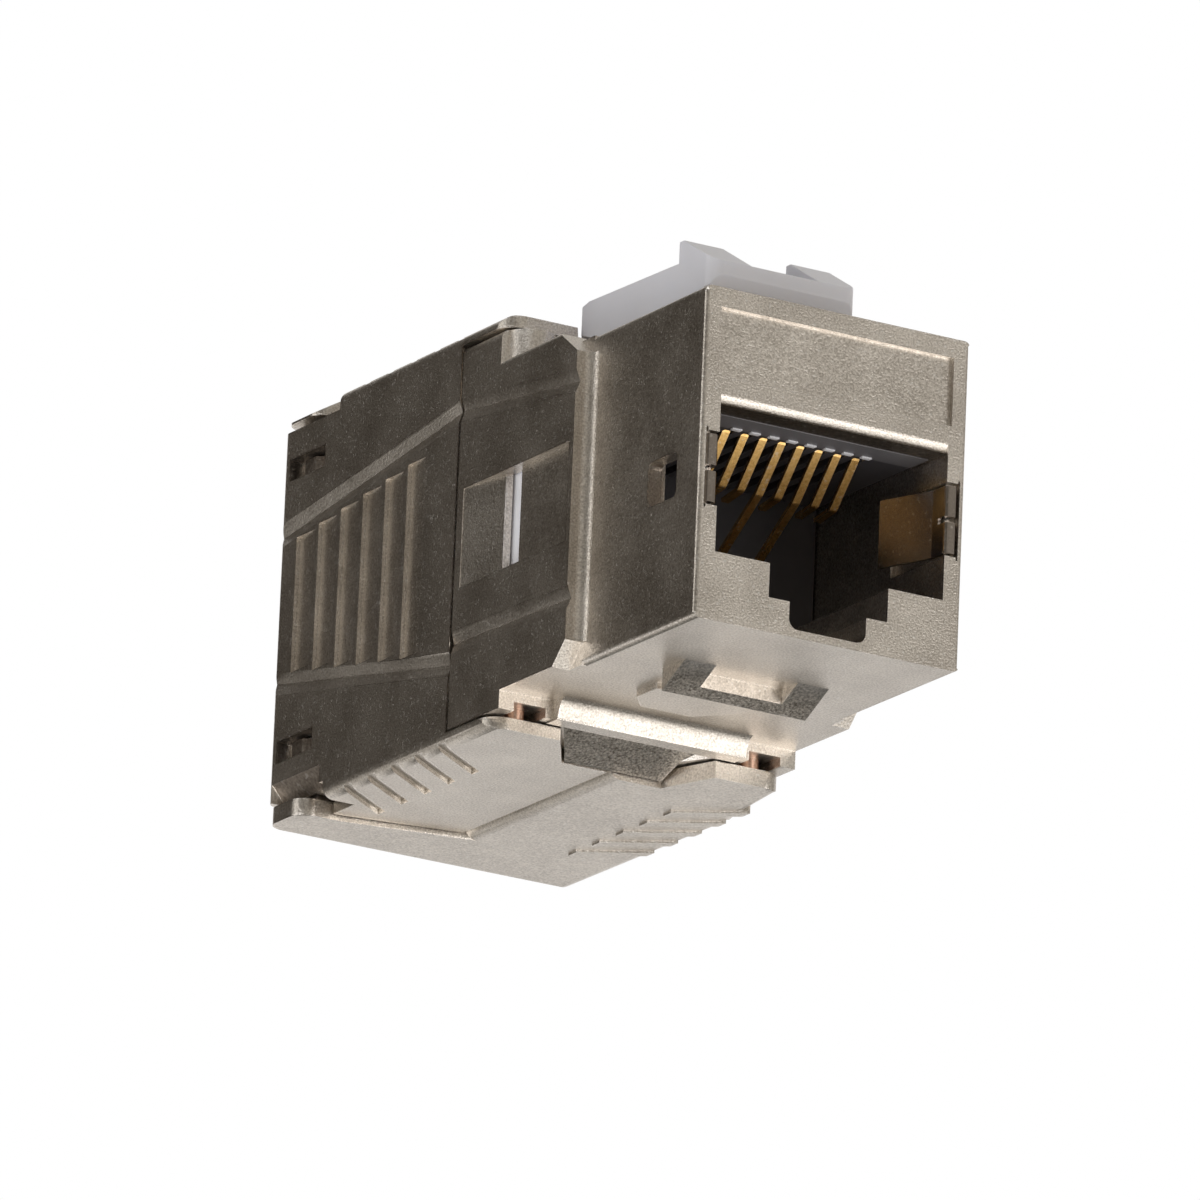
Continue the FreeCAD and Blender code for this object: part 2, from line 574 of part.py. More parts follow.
def wing_front_cut():
    """Space in front of a left wing's side wall, round about the hinge."""
    radius = hinge_reach() + SEAM_GAP
    drum = post(-HINGE_X, HINGE_Y, WING_BOTTOM, WING_TOP, radius)
    front = block(-BODY_HALF - 1, 0, 0, HINGE_Y, WING_BOTTOM, WING_TOP)
    side = block(-BODY_HALF - 1, -HINGE_X, 0, HINGE_Y + 0.1, WING_BOTTOM, WING_TOP)
    return [drum, front, side]


def plate_front_cut():
    """Trapezoid cut-out and rounded outer corners at the front of the plates."""
    deep = BODY_HALF * 2
    plan = [(-CUT_FRONT_HALF, PLATE_FRONT - 1), (CUT_FRONT_HALF, PLATE_FRONT - 1),
            (CUT_FRONT_HALF, PLATE_FRONT), (CUT_REAR_HALF, CUT_REAR), (-CUT_REAR_HALF, CUT_REAR),
            (-CUT_FRONT_HALF, PLATE_FRONT)]
    return [prism_z(plan, -deep, deep), left_corner(PLATE_FRONT, -1, PLATE_ROUND, BODY_HALF)]


def between(ends, share):
    return ends[0] + (ends[1] - ends[0]) * share


def rib_cuts(half):
    """Sawtooth between the two side grooves: each rib is steep in front and gentle behind."""
    cuts = []
    for index in range(RIB_COUNT):
        y = RIB_FRONT + index * RIB_PITCH
        share = index / (RIB_COUNT - 1)
        plan = [(-half - 0.5, y - RIB_PITCH), (-half, y - RIB_PITCH + RIB_LAND),
                (-half + RIB_DEPTH, y), (-half - 0.5, y)]
        cuts.append(prism_z(plan, between(RIB_BOTTOM, share), between(RIB_TOP, share)))
    return cuts


def grip_cuts(plate, swell):
    """Shallow slanting grooves in both plates, open to the wing's outer side."""
    cuts = []
    reach = swell + 0.1
    drop = reach * GRIP_SLANT / GRIP_SPREAD
    outer = -BODY_HALF - reach
    inner = -BODY_HALF + GRIP_SPREAD
    top = WING_TOP + plate
    bottom = WING_BOTTOM - plate
    for index in range(GRIP_COUNT):
        y = GRIP_FRONT + index * GRIP_PITCH
        plan = [(outer, y - drop), (inner, y + GRIP_SLANT), (inner, y + GRIP_SLANT + GRIP_WIDTH),
                (outer, y - drop + GRIP_WIDTH)]
        cuts.append(prism_z(plan, top - GRIP_DEPTH, top + 1))
        cuts.append(prism_z(plan, bottom - 1, bottom + GRIP_DEPTH))
    return cuts


def wing_side_grooves(swell):
    """Grooves that go on from the body's, out along the swelling side and on to the rear."""
    cuts = []
    start = BODY_END - 0.6
    share = (BULGE_REAR - start) / (WING_END - start)
    for heights in (WING_GROOVE_UPPER, WING_GROOVE_LOWER):
        bend = between(heights, share)
        cuts.append(side_groove(start, heights[0], BULGE_REAR, bend, BODY_HALF, swell))
        cuts.append(side_groove(BULGE_REAR, bend, WING_END, heights[1], BODY_HALF + swell))
    return cuts


def side_bulge():
    """Swelling of the right wing's side, drawn on the left."""
    inner = -BODY_HALF + WING_WALL - 0.05
    outer = -BODY_HALF - RIGHT_BULGE
    plan = [(inner, HINGE_Y), (-BODY_HALF, HINGE_Y), (outer, BULGE_REAR), (outer, WING_END), (inner, WING_END)]
    solid = prism_z(plan, WING_BOTTOM - RIGHT_PLATE, WING_TOP + RIGHT_PLATE)
    long_edges = [edge for edge in solid.Edges if abs(edge.Vertexes[0].Z - edge.Vertexes[1].Z) < 1e-6
                  and max(vertex.X for vertex in edge.Vertexes) < -BODY_HALF + 1e-6]
    return solid.makeFillet(WING_ROUND, long_edges)


def rear_wall(y0, y1, z0, z1, x1):
    return block(-BODY_HALF + WING_WALL - 0.1, x1, y0, y1, z0, z1)


def cable_cut():
    start = V(0, WING_END - REAR_WALL * 2, CABLE_Z)
    return Part.makeCylinder(CABLE_DIAMETER / 2, REAR_WALL * 4, start, V(0, 1, 0))


def seam_plan(gap, rear):
    """Outline of what lies behind the slanting seam, grown by the gap towards the front."""
    return [(SEAM_X + 0.4, SEAM_Y - gap), (SEAM_SLANT_X, SEAM_Y + SEAM_SLANT - gap),
            (-BODY_HALF - 1, SEAM_Y + SEAM_SLANT - gap), (-BODY_HALF - 1, rear), (SEAM_X + 0.4, rear)]


def rear_laps():
    """Ledges of the left wing that reach under the right wing's rear strips."""
    laps = []
    x0 = -BODY_HALF + WING_WALL - 0.1
    x1 = SEAM_X - SEAM_GAP / 2
    reach = SEAM_Y + SEAM_SLANT
    rib_rear = LAP_FRONT + 0.4
    laps.append(block(x0, x1, LAP_FRONT, reach, LEFT_REAR_TOP - LAP_THICK, LEFT_REAR_TOP))
    laps.append(block(x0, x1, LAP_FRONT, rib_rear, LEFT_REAR_TOP - LAP_THICK, WING_TOP + 0.1))
    laps.append(block(x0, x1, LAP_FRONT, reach, LEFT_REAR_BOTTOM, LEFT_REAR_BOTTOM + LAP_THICK))
    laps.append(block(x0, x1, LAP_FRONT, rib_rear, WING_BOTTOM - 0.1, LEFT_REAR_BOTTOM + LAP_THICK))
    return laps


def pry_notch():
    """Slanting notch in the left wing's lower rear corner, to lift the right wing by."""
    top = LEFT_REAR_BOTTOM + PRY_HEIGHT
    deep = LEFT_REAR_BOTTOM - 1
    outer = -BODY_HALF - 0.5
    slope = WING_WALL / PRY_HEIGHT * 0.9
    outline = [(outer, top + 0.5 / slope), (outer, deep), (-BODY_HALF + (top - deep) * slope, deep)]
    return prism_y(outline, LEFT_CORNER_Y + 0.4, WING_END - 0.5)


def hook_height(centre):
    return centre - HOOK_HEIGHT / 2, centre + HOOK_HEIGHT / 2


def make_left_wing():
    seam = SEAM_X - SEAM_GAP / 2
    solid = wing_section(LEFT_PLATE, seam)
    upper_free = UPPER_SLOT_Z - SLOT_HEIGHT / 2 - SEAM_GAP
    lower_free = LOWER_SLOT_Z + SLOT_HEIGHT / 2 + SEAM_GAP
    wall = rear_wall(WING_END - REAR_WALL, WING_END, lower_free, upper_free, -SEAM_GAP / 2)
    deep = BODY_HALF * 2
    cuts = wing_front_cut() + plate_front_cut() + rib_cuts(BODY_HALF) + grip_cuts(LEFT_PLATE, 0)
    cuts += wing_side_grooves(0) + [cable_cut(), prism_z(seam_plan(SEAM_GAP, WING_END + 1), LEFT_REAR_TOP, deep)]
    cuts += [prism_z(seam_plan(SEAM_GAP, WING_END + 1), -deep, LEFT_REAR_BOTTOM)]
    corner_x = -BODY_HALF + 2 * WING_WALL
    cuts.append(block(-BODY_HALF - 1, corner_x, LEFT_CORNER_Y, WING_END + 1, LEFT_REAR_TOP, deep))
    cuts.append(block(-BODY_HALF - 1, corner_x, LEFT_CORNER_Y, WING_END + 1, -deep, LEFT_REAR_BOTTOM))
    for centre in (UPPER_SLOT_Z, LOWER_SLOT_Z):
        cuts.append(block(-BODY_HALF - 1, -BODY_HALF + WING_WALL + 0.5, SLOT_FRONT, SLOT_FRONT + SLOT_LENGTH,
                          centre - SLOT_HEIGHT / 2, centre + SLOT_HEIGHT / 2))
    cuts += pin_bores(PIN_DIAMETER / 2 + PIN_RUN, PIN_RUN)
    cuts += [left_corner(WING_END, 1, WING_END_ROUND, BODY_HALF), pry_notch()]
    solid = solid.fuse(wall).cut(cuts)
    return solid.fuse(rear_laps()).removeSplitter()


def closing_hook(centre, plate_z):
    """Lug that hangs from the rear strip and enters the left wing's slot from inside."""
    low, high = hook_height(centre)
    inner = -BODY_HALF + WING_WALL + SEAM_GAP
    arm_z = sorted((plate_z, low if plate_z > 0 else high))
    arm = block(inner, inner + HOOK_THICK, HOOK_FRONT, HOOK_FRONT + HOOK_LENGTH, arm_z[0], arm_z[1])
    rear = HOOK_FRONT + HOOK_LENGTH
    nose = prism_z([(inner + 0.1, HOOK_FRONT), (inner - HOOK_REACH, HOOK_FRONT + HOOK_LENGTH / 3),
                    (inner - HOOK_REACH, rear), (inner + 0.1, rear)], low, high)
    return arm.fuse(nose)


def rear_strip(low, high):
    """Strip of the right wing that runs behind the seam to the left edge."""
    rear = WING_END - 0.1
    plan = [(SEAM_X + 0.8, SEAM_Y), (SEAM_X + 0.4, SEAM_Y), (SEAM_SLANT_X, SEAM_Y + SEAM_SLANT),
            (-BODY_HALF, SEAM_Y + SEAM_SLANT), (-BODY_HALF, rear), (SEAM_X + 0.8, rear)]
    strip = prism_z(plan, low, high)
    return strip.makeFillet(STRIP_ROUND, edges_along(strip, V(0, 0, 1), lambda p: p.x < -BODY_HALF + 0.01))


def make_right_wing():
    seam = SEAM_X + SEAM_GAP / 2
    solid = mirrored(wing_section(RIGHT_PLATE, -seam).fuse(side_bulge()))
    outer = BODY_HALF + RIGHT_BULGE
    cuts = wing_front_cut() + plate_front_cut() + rib_cuts(outer) + grip_cuts(RIGHT_PLATE, RIGHT_BULGE)
    cuts += wing_side_grooves(RIGHT_BULGE)
    solid = solid.cut([mirrored(cutter) for cutter in cuts])
    rear = WING_END - 0.1
    top = WING_TOP + RIGHT_PLATE
    bevel = prism_y([(-BODY_HALF - 0.1, top - STRIP_BEVEL_HEIGHT), (-BODY_HALF, top - STRIP_BEVEL_HEIGHT),
                     (-BODY_HALF + STRIP_BEVEL_WIDTH, top), (-BODY_HALF + STRIP_BEVEL_WIDTH, top + 1),
                     (-BODY_HALF - 0.1, top + 1)], SEAM_Y, WING_END)
    solid = solid.fuse([rear_strip(WING_TOP, top).cut(bevel), rear_strip(WING_BOTTOM - RIGHT_PLATE, WING_BOTTOM)])
    free = -BODY_HALF + WING_WALL + SEAM_GAP
    upper_free = UPPER_SLOT_Z - SLOT_HEIGHT / 2
    lower_free = LOWER_SLOT_Z + SLOT_HEIGHT / 2
    inner = BODY_HALF - WING_WALL + 0.1
    plate_low = WING_BOTTOM - 0.1
    plate_high = WING_TOP + 0.1
    parts = [block(SEAM_GAP / 2, inner, rear - REAR_WALL, rear, plate_low, plate_high)]
    parts.append(block(free, inner, rear - REAR_WALL, rear, upper_free, plate_high))
    parts.append(block(free, inner, rear - REAR_WALL, rear, plate_low, lower_free))
    parts += [closing_hook(UPPER_SLOT_Z, plate_high), closing_hook(LOWER_SLOT_Z, plate_low)]
    trim = block(-BODY_HALF, outer + 1, rear, WING_END + 1, -BODY_HALF * 2, BODY_HALF * 2)
    cuts = [cable_cut(), trim, mirrored(left_corner(rear, 1, WING_END_ROUND, outer))]
    cuts += pin_bores(PIN_DIAMETER / 2 + PIN_RUN, PIN_RUN)
    return solid.fuse(parts).cut(cuts).removeSplitter()


def hinge_pins():
    pins = pin_bores(PIN_DIAMETER / 2, 0)
    return dict(zip(("hinge_pin_left_top", "hinge_pin_left_bottom", "hinge_pin_right_top",
                     "hinge_pin_right_bottom"), pins))


# ---------------------------------------------------------------- snap latch
def make_latch():
    low = LATCH_TOP - LATCH_THICK
    root = BODY_TOP + ROOT_RISE
    side = [(LATCH_REAR, root), (HINGE_Y - 0.4, root), (HINGE_Y - 2.2, low), (LATCH_FRONT + 1.2, low),
            (LATCH_FRONT + 0.35, low + 0.2), (LATCH_FRONT, low + 0.7), (LATCH_FRONT, LATCH_NOSE_TOP),
            (TOOTH_REAR + 0.2, LATCH_TOP), (HINGE_Y - 1.2, LATCH_TOP + LATCH_HUMP),
            (HINGE_Y + 0.6, LATCH_TOP - LATCH_HUMP), (LATCH_REAR, LATCH_TOP - 0.7)]
    lever = prism_x(side, -LATCH_HALF, LATCH_HALF)
    near = PLATE_FRONT - 1
    far = LATCH_REAR + 1
    taper = prism_z([(-LATCH_HALF - 1, near), (LATCH_CLEARANCE - cut_out_half(near), near),
                     (LATCH_CLEARANCE - cut_out_half(far), far), (-LATCH_HALF - 1, far)], root - 1, LATCH_TOP + 1)
    tooth_top = LATCH_TOP + TOOTH_HEIGHT
    tooth_side = [(LATCH_FRONT, LATCH_NOSE_TOP - 0.2), (LATCH_FRONT, LATCH_NOSE_TOP),
                  (TOOTH_REAR - TOOTH_LAND, tooth_top), (TOOTH_REAR, tooth_top), (TOOTH_REAR, LATCH_NOSE_TOP - 0.2)]
    tooth = prism_x(tooth_side, -LATCH_HALF, -LATCH_HALF + TOOTH_WIDTH)
    foot = block(-FOOT_HALF, FOOT_HALF, HINGE_Y - FOOT_LENGTH / 2, HINGE_Y + FOOT_LENGTH / 2,
                 BODY_TOP - FOOT_DEPTH, root + 0.3)
    corner = left_corner(LATCH_FRONT, -1, LATCH_CORNER_ROUND, LATCH_HALF)
    solid = lever.fuse([tooth, mirrored(tooth), foot])
    return solid.cut([taper, mirrored(taper), corner, mirrored(corner)]).removeSplitter()


# ---------------------------------------------------------------- contacts and their carrier
def contact_x(index):
    return (index - (CONTACT_COUNT - 1) / 2) * CONTACT_PITCH


def make_contact(index):
    """One spring contact: from the board forwards, folded back and down into the port."""
    x = contact_x(index)
    tail = CHAMBER_FRONT + BOARD_THICK + 0.2
    tip = (CONTACT_FRONT + CONTACT_TIP_BACK, CONTACT_Z - CONTACT_TIP_DROP)
    path = [(tail, CONTACT_Z), (CONTACT_FRONT + CONTACT_FOLD / 2, CONTACT_Z), (CONTACT_FRONT, CONTACT_Z - CONTACT_FOLD), tip]
    if index + 1 in LOW_CONTACTS:
        path.append((PORT_DEPTH - LOW_END_GAP, CONTACT_Z - LOW_END_DROP))
    else:
        path.append((tip[0] + CONTACT_END_BACK, tip[1] - CONTACT_END_DROP))
    return folded_strip(path, CONTACT_THICK, x - CONTACT_WIDTH / 2, x + CONTACT_WIDTH / 2, CONTACT_BEND)


def make_carrier():
    """Moulded insert: a comb above the port and the port's rear wall."""
    half = PORT_WIDTH / 2 - INNER_GAP
    front = CARRIER_FRONT + INNER_GAP
    rear = CHAMBER_FRONT - INNER_GAP
    top = CARRIER_TOP - INNER_GAP
    low = PORT_FLOOR + INNER_GAP
    side = [(front, PORT_TOP), (PORT_DEPTH, PORT_TOP), (PORT_DEPTH, low), (rear, low), (rear, top),
            (front + CARRIER_SLOPE_LENGTH, top), (front, PORT_TOP + CARRIER_SLOPE_FOOT)]
    solid = prism_x(side, -half, half)
    room = CONTACT_SLOT / 2
    comb_top = CONTACT_Z + CONTACT_THICK / 2 + CAP_ROOM
    cuts = []
    for index in range(CONTACT_COUNT):
        x = contact_x(index)
        cuts.append(block(x - room, x + room, CONTACT_FRONT - COMB_OPEN, PORT_DEPTH, PORT_TOP - 1, comb_top))
        cuts.append(block(x - room, x + room, PORT_DEPTH - 0.1, rear + 1, CONTACT_Z * 2 - comb_top, comb_top))
    return solid.cut(cuts).removeSplitter()


def make_board():
    """Circuit board that joins the contacts to the wiring blades."""
    y0 = CHAMBER_FRONT
    half = BODY_HALF - BODY_WALL - BOARD_SIDE_GAP
    board = block(-half, half, y0, y0 + BOARD_THICK, CHAMBER_FLOOR + BOARD_MARGIN, CHAMBER_TOP - BOARD_MARGIN)
    holes = []
    for index in range(CONTACT_COUNT):
        holes.append((contact_x(index), CONTACT_Z, CONTACT_SLOT / 2))
    for x, z in blade_places():
        holes.append((x, z, BOARD_HOLE / 2))
    through = BOARD_THICK * 2
    cuts = [block(x - room, x + room, y0 - 1, y0 + through, z - room, z + room) for x, z, room in holes]
    return board.cut(cuts)


def blade_places():
    places = []
    for row in (-1, 1):
        for column in range(4):
            places.append(((column - 1.5) * TOWER_PITCH, CABLE_Z + row * TOWER_ROW))
    return places


def idc_front():
    return CHAMBER_FRONT + BOARD_THICK + IDC_GAP


def make_idc_block():
    """White wiring block: a base with two rows of four slotted towers for the wires."""
    inner = BODY_HALF - BODY_WALL - IDC_SIDE_GAP
    y0 = idc_front()
    y1 = y0 + IDC_BASE
    end = y1 + IDC_TOWER_LENGTH
    base = block(-inner, inner, y0, y1, CHAMBER_FLOOR + BOARD_MARGIN, CHAMBER_TOP - BOARD_MARGIN)
    half_x = TOWER_WIDTH / 2
    half_z = TOWER_HEIGHT / 2
    blade_x = BLADE_WIDTH / 2 + BLADE_ROOM
    blade_z = BLADE_THICK / 2 + BLADE_ROOM
    wire = TOWER_SLOT / 2
    parts = [block(-SPINE_HALF, SPINE_HALF, y0, y1 + SPINE_LENGTH, CABLE_Z - SPINE_THICK / 2, CABLE_Z + SPINE_THICK / 2)]
    cuts = []
    for x, z in blade_places():
        parts.append(block(x - half_x, x + half_x, y0, end, z - half_z, z + half_z))
        cuts.append(block(x - blade_x, x + blade_x, y0 - 1, end - TOWER_END, z - blade_z, z + blade_z))
        cuts.append(block(x - wire, x + wire, y1 + SPINE_LENGTH, end + 1, z - half_z - 1, z + half_z + 1))
    return base.fuse(parts).cut(cuts).removeSplitter()


def make_blade(place):
    """Slotted blade of one wire: a fork behind and a square tail into the board."""
    x, z = place
    shoulder = idc_front() + BLADE_ROOM * 10
    front = CHAMBER_FRONT + BOARD_THICK / 4
    end = idc_front() + IDC_BASE + IDC_TOWER_LENGTH - TOWER_END - BLADE_ROOM * 3
    tail = BLADE_TAIL / 2
    slot = BLADE_SLOT / 2
    half = BLADE_WIDTH / 2
    mouth = end - 0.6
    root = end - WIRE_SLOT_DEPTH
    right = [(tail, front), (tail, shoulder), (half, shoulder), (half, end - 0.5), (slot + 0.2, end), (slot, mouth),
             (slot, root)]
    outline = [(x + dx, y) for dx, y in right] + [(x - dx, y) for dx, y in right[::-1]]
    return prism_z(outline, z - BLADE_THICK / 2, z + BLADE_THICK / 2)


def make_wire_cap():
    """White cap that presses the wires onto the blades, with a cable passage behind."""
    y0 = idc_front() + IDC_BASE + CAP_FRONT_GAP
    y1 = WING_END - REAR_WALL - CAP_REAR_ROOM
    low = CABLE_Z - CAP_HEIGHT / 2
    high = CABLE_Z + CAP_HEIGHT / 2
    cap = block(-CAP_HALF, CAP_HALF, y0, y1, low, high)
    cap = cap.makeFillet(CAP_ROUND, edges_along(cap, V(0, 1, 0), lambda p: True))
    deep = y0 + IDC_TOWER_LENGTH
    half_x = TOWER_WIDTH / 2 + CAP_ROOM
    half_z = TOWER_HEIGHT / 2 + CAP_ROOM
    wire = WIRE_SLOT / 2
    wire_end = y0 + WIRE_SLOT_DEPTH
    cuts = []
    for x, z in blade_places():
        cuts.append(block(x - half_x, x + half_x, y0 - 1, deep, z - half_z, z + half_z))
        z0, z1 = (low - 1, z) if z < CABLE_Z else (z, high + 1)
        cuts.append(block(x - wire, x + wire, y0 - 1, wire_end, z0, z1))
    spine_x = SPINE_HALF + CAP_ROOM
    spine_z = SPINE_THICK / 2 + CAP_ROOM
    cuts.append(block(-spine_x, spine_x, y0 - 1, y0 + SPINE_LENGTH + CAP_ROOM, CABLE_Z - spine_z, CABLE_Z + spine_z))
    bowl_y = deep + BOWL_FLOOR
    cuts.append(Part.makeCone(BOWL_RADIUS, CABLE_DIAMETER / 2 + 0.9, y1 - bowl_y, V(0, bowl_y, CABLE_Z), V(0, 1, 0)))
    return cap.cut(cuts).removeSplitter()


# ---------------------------------------------------------------- ground clips
def make_left_clip():
    """Sheet spring at the left edge of the port: folded at the face, bent into the port behind."""
    wall = -PORT_WIDTH / 2
    seat = wall - CLIP_THICK / 2
    hook = wall - CLIP_HOOK
    face = CLIP_THICK / 2
    path = [(hook, CLIP_SEAT_DEPTH - 0.08), (hook, face), (seat, face), (seat, SIDE_WINDOW_FRONT - 0.9),
            (wall + CLIP_BEND, CLIP_LENGTH)]
    flat = folded_strip([(y, x) for x, y in path], CLIP_THICK, CLIP_BOTTOM, CLIP_TOP, CLIP_FOLD)
    # The strip is drawn standing along x, and is turned so that its width runs along z.
    turn = FreeCAD.Matrix(0, 0, 1, 0, 0, 1, 0, 0, 1, 0, 0, 0, 0, 0, 0, 1)
    clip = flat.transformGeometry(turn)
    middle = (CLIP_TOP + CLIP_BOTTOM) / 2
    split = block(wall - 1, wall + CLIP_THICK, -CLIP_THICK, CLIP_SEAT_DEPTH + CLIP_THICK,
                  middle - CLIP_SLIT / 2, middle + CLIP_SLIT / 2)
    return clip.cut(split)


# ---------------------------------------------------------------- all pieces
def all_pieces():
    pieces = {
        "housing": make_housing(),
        "left_wing": make_left_wing(),
        "right_wing": make_right_wing(),
        "keystone_latch": make_latch(),
        "contact_carrier": make_carrier(),
        "circuit_board": make_board(),
        "idc_block": make_idc_block(),
        "wire_cap": make_wire_cap(),
    }
    pieces.update(hinge_pins())
    clip = make_left_clip()
    pieces["ground_clip_left"] = clip
    pieces["ground_clip_right"] = mirrored(clip)
    for index in range(CONTACT_COUNT):
        pieces["contact_%d" % (index + 1)] = make_contact(index)
    for index, place in enumerate(blade_places()):
        pieces["idc_blade_%d" % (index + 1)] = make_blade(place)
    return pieces


os.makedirs("parts", exist_ok=True)
for name, shape in all_pieces().items():
    if len(shape.Solids) == 1:
        shape = shape.Solids[0]
    shape.exportStep("parts/%s.step" % name)
    box = shape.BoundBox
    print("%-22s solids %d valid %s volume %8.2f  x %6.2f %6.2f  y %6.2f %6.2f  z %6.2f %6.2f" % (
        name, len(shape.Solids), shape.isValid(), shape.Volume,
        box.XMin, box.XMax, box.YMin, box.YMax, box.ZMin, box.ZMax))
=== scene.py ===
# %% [markdown]
# # A shielded network jack
#
# The jack is a small die-cast block with a plug port in front, a white snap latch on top and two
# hinged wings that close behind. Its shapes come from the CAD frame. This lesson gives it rounded
# edges, cast and plated metal, moulded plastic and gold contacts, and then sets up a plain studio.

# %% Load the frame
import json
from math import cos, radians, sin
import bpy
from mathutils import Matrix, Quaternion, Vector

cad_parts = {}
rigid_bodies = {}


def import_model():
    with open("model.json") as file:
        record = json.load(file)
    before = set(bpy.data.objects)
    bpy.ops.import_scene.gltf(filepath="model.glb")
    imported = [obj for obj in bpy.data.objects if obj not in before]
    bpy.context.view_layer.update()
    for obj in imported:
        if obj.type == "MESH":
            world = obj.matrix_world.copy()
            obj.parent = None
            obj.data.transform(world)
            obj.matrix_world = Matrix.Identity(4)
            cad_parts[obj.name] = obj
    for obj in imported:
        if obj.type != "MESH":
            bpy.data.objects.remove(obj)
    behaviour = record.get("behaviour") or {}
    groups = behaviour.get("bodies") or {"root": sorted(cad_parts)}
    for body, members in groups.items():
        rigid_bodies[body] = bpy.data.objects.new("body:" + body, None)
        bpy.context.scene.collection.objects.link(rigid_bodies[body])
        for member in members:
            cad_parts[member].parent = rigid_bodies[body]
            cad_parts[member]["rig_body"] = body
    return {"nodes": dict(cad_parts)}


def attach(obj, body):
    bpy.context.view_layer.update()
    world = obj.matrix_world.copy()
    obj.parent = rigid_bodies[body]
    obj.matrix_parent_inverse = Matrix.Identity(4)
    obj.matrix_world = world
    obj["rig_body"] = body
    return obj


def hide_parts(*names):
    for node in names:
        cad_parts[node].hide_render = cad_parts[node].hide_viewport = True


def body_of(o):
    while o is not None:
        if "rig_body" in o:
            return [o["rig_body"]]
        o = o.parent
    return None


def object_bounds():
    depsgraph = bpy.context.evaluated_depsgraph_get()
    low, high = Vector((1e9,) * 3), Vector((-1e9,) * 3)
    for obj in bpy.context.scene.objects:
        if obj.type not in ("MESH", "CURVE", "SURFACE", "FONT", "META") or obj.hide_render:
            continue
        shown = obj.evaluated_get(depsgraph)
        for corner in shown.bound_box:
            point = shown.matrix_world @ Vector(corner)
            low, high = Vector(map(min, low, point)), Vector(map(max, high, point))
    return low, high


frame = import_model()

cad_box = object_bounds()
MM = 0.001
print("CAD box in mm:", [[round(c / MM, 2) for c in corner] for corner in cad_box])

# %% [markdown]
# ## The camera
#
# The jack is seen from the left, from in front and from a little below, through a long lens, so
# that parallel edges stay nearly parallel. The camera is placed on a line that leaves the jack at
# these two angles, looks back along it, and is then rolled a little about its own axis.

# %% Place the camera
CAMERA_AZIMUTH = radians(-30.44)
CAMERA_ELEVATION = radians(-16.72)
CAMERA_ROLL = radians(2.415)
CAMERA_DISTANCE = 815.6 * MM
CAMERA_AIM = Vector((-0.68, 19.81, -1.37)) * MM
CAMERA_LENS = 514.5

bpy.ops.object.select_all(action="DESELECT")
bpy.ops.object.camera_add()
camera = bpy.context.object
camera.data.lens = CAMERA_LENS
camera.data.clip_end = 10
back = Vector((sin(CAMERA_AZIMUTH) * cos(CAMERA_ELEVATION),
               -cos(CAMERA_AZIMUTH) * cos(CAMERA_ELEVATION),
               sin(CAMERA_ELEVATION)))
camera.location = CAMERA_AIM + back * CAMERA_DISTANCE
camera.rotation_mode = "QUATERNION"
level = (-back).to_track_quat("-Z", "Y")
camera.rotation_quaternion = level @ Quaternion((0, 0, 1), CAMERA_ROLL)
bpy.context.scene.camera = camera
bpy.context.scene.view_settings.view_transform = "Standard"
print("camera at", [round(c, 3) for c in camera.location])

# %% [markdown]
# ## Building a material from nodes
#
# Every finish below is a tree of nodes. Two small helpers keep the trees short: one adds a node and
# sets its values, the other starts a material that has a Principled shader and nothing else.

# %% Helpers for node trees
def add_node(tree, kind, inputs=None, **values):
    """A new node in a tree, with its properties and its unlinked inputs set."""
    node = tree.nodes.new(kind)
    for name, value in values.items():
        setattr(node, name, value)
    for name, value in (inputs or {}).items():
        node.inputs[name].default_value = value
    return node


def start_material(name, **sockets):
    """A material with one Principled shader, whose sockets are set by name."""
    material = bpy.data.materials.new(name)
    material.use_nodes = True
    tree = material.node_tree
    tree.nodes.clear()
    shader = add_node(tree, "ShaderNodeBsdfPrincipled")
    for socket, value in sockets.items():
        shader.inputs[socket.replace("_", " ").title().replace("Ior", "IOR")].default_value = value
    output = add_node(tree, "ShaderNodeOutputMaterial")
    tree.links.new(shader.outputs["BSDF"], output.inputs["Surface"])
    return material, tree, shader


def start_group(name, inputs, outputs):
    """A shader node group with named float, colour or vector sockets."""
    group = bpy.data.node_groups.new(name, "ShaderNodeTree")
    for label, kind, value in inputs:
        socket = group.interface.new_socket(label, in_out="INPUT", socket_type="NodeSocket" + kind)
        if value is not None:
            socket.default_value = value
    for label, kind in outputs:
        group.interface.new_socket(label, in_out="OUTPUT", socket_type="NodeSocket" + kind)
    return group, add_node(group, "NodeGroupInput"), add_node(group, "NodeGroupOutput")


def place_group(tree, group, **values):
    """A node that places a group in a tree, with its inputs set by name."""
    node = add_node(tree, "ShaderNodeGroup", node_tree=group)
    for name, value in values.items():
        node.inputs[name.replace("_", " ").capitalize()].default_value = value
    return node

# %% [markdown]
# ## Cast grain
#
# A die-cast part takes the faint pebbled skin of its mould, and plating leaves it satin. Up close
# the skin has three scales: soft clouds of tone a few millimetres wide, an even grain finer than a
# tenth of a millimetre, and a few tiny facets that catch the light. One group gives all three, so
# that every metal and plastic can use them in its own strength.

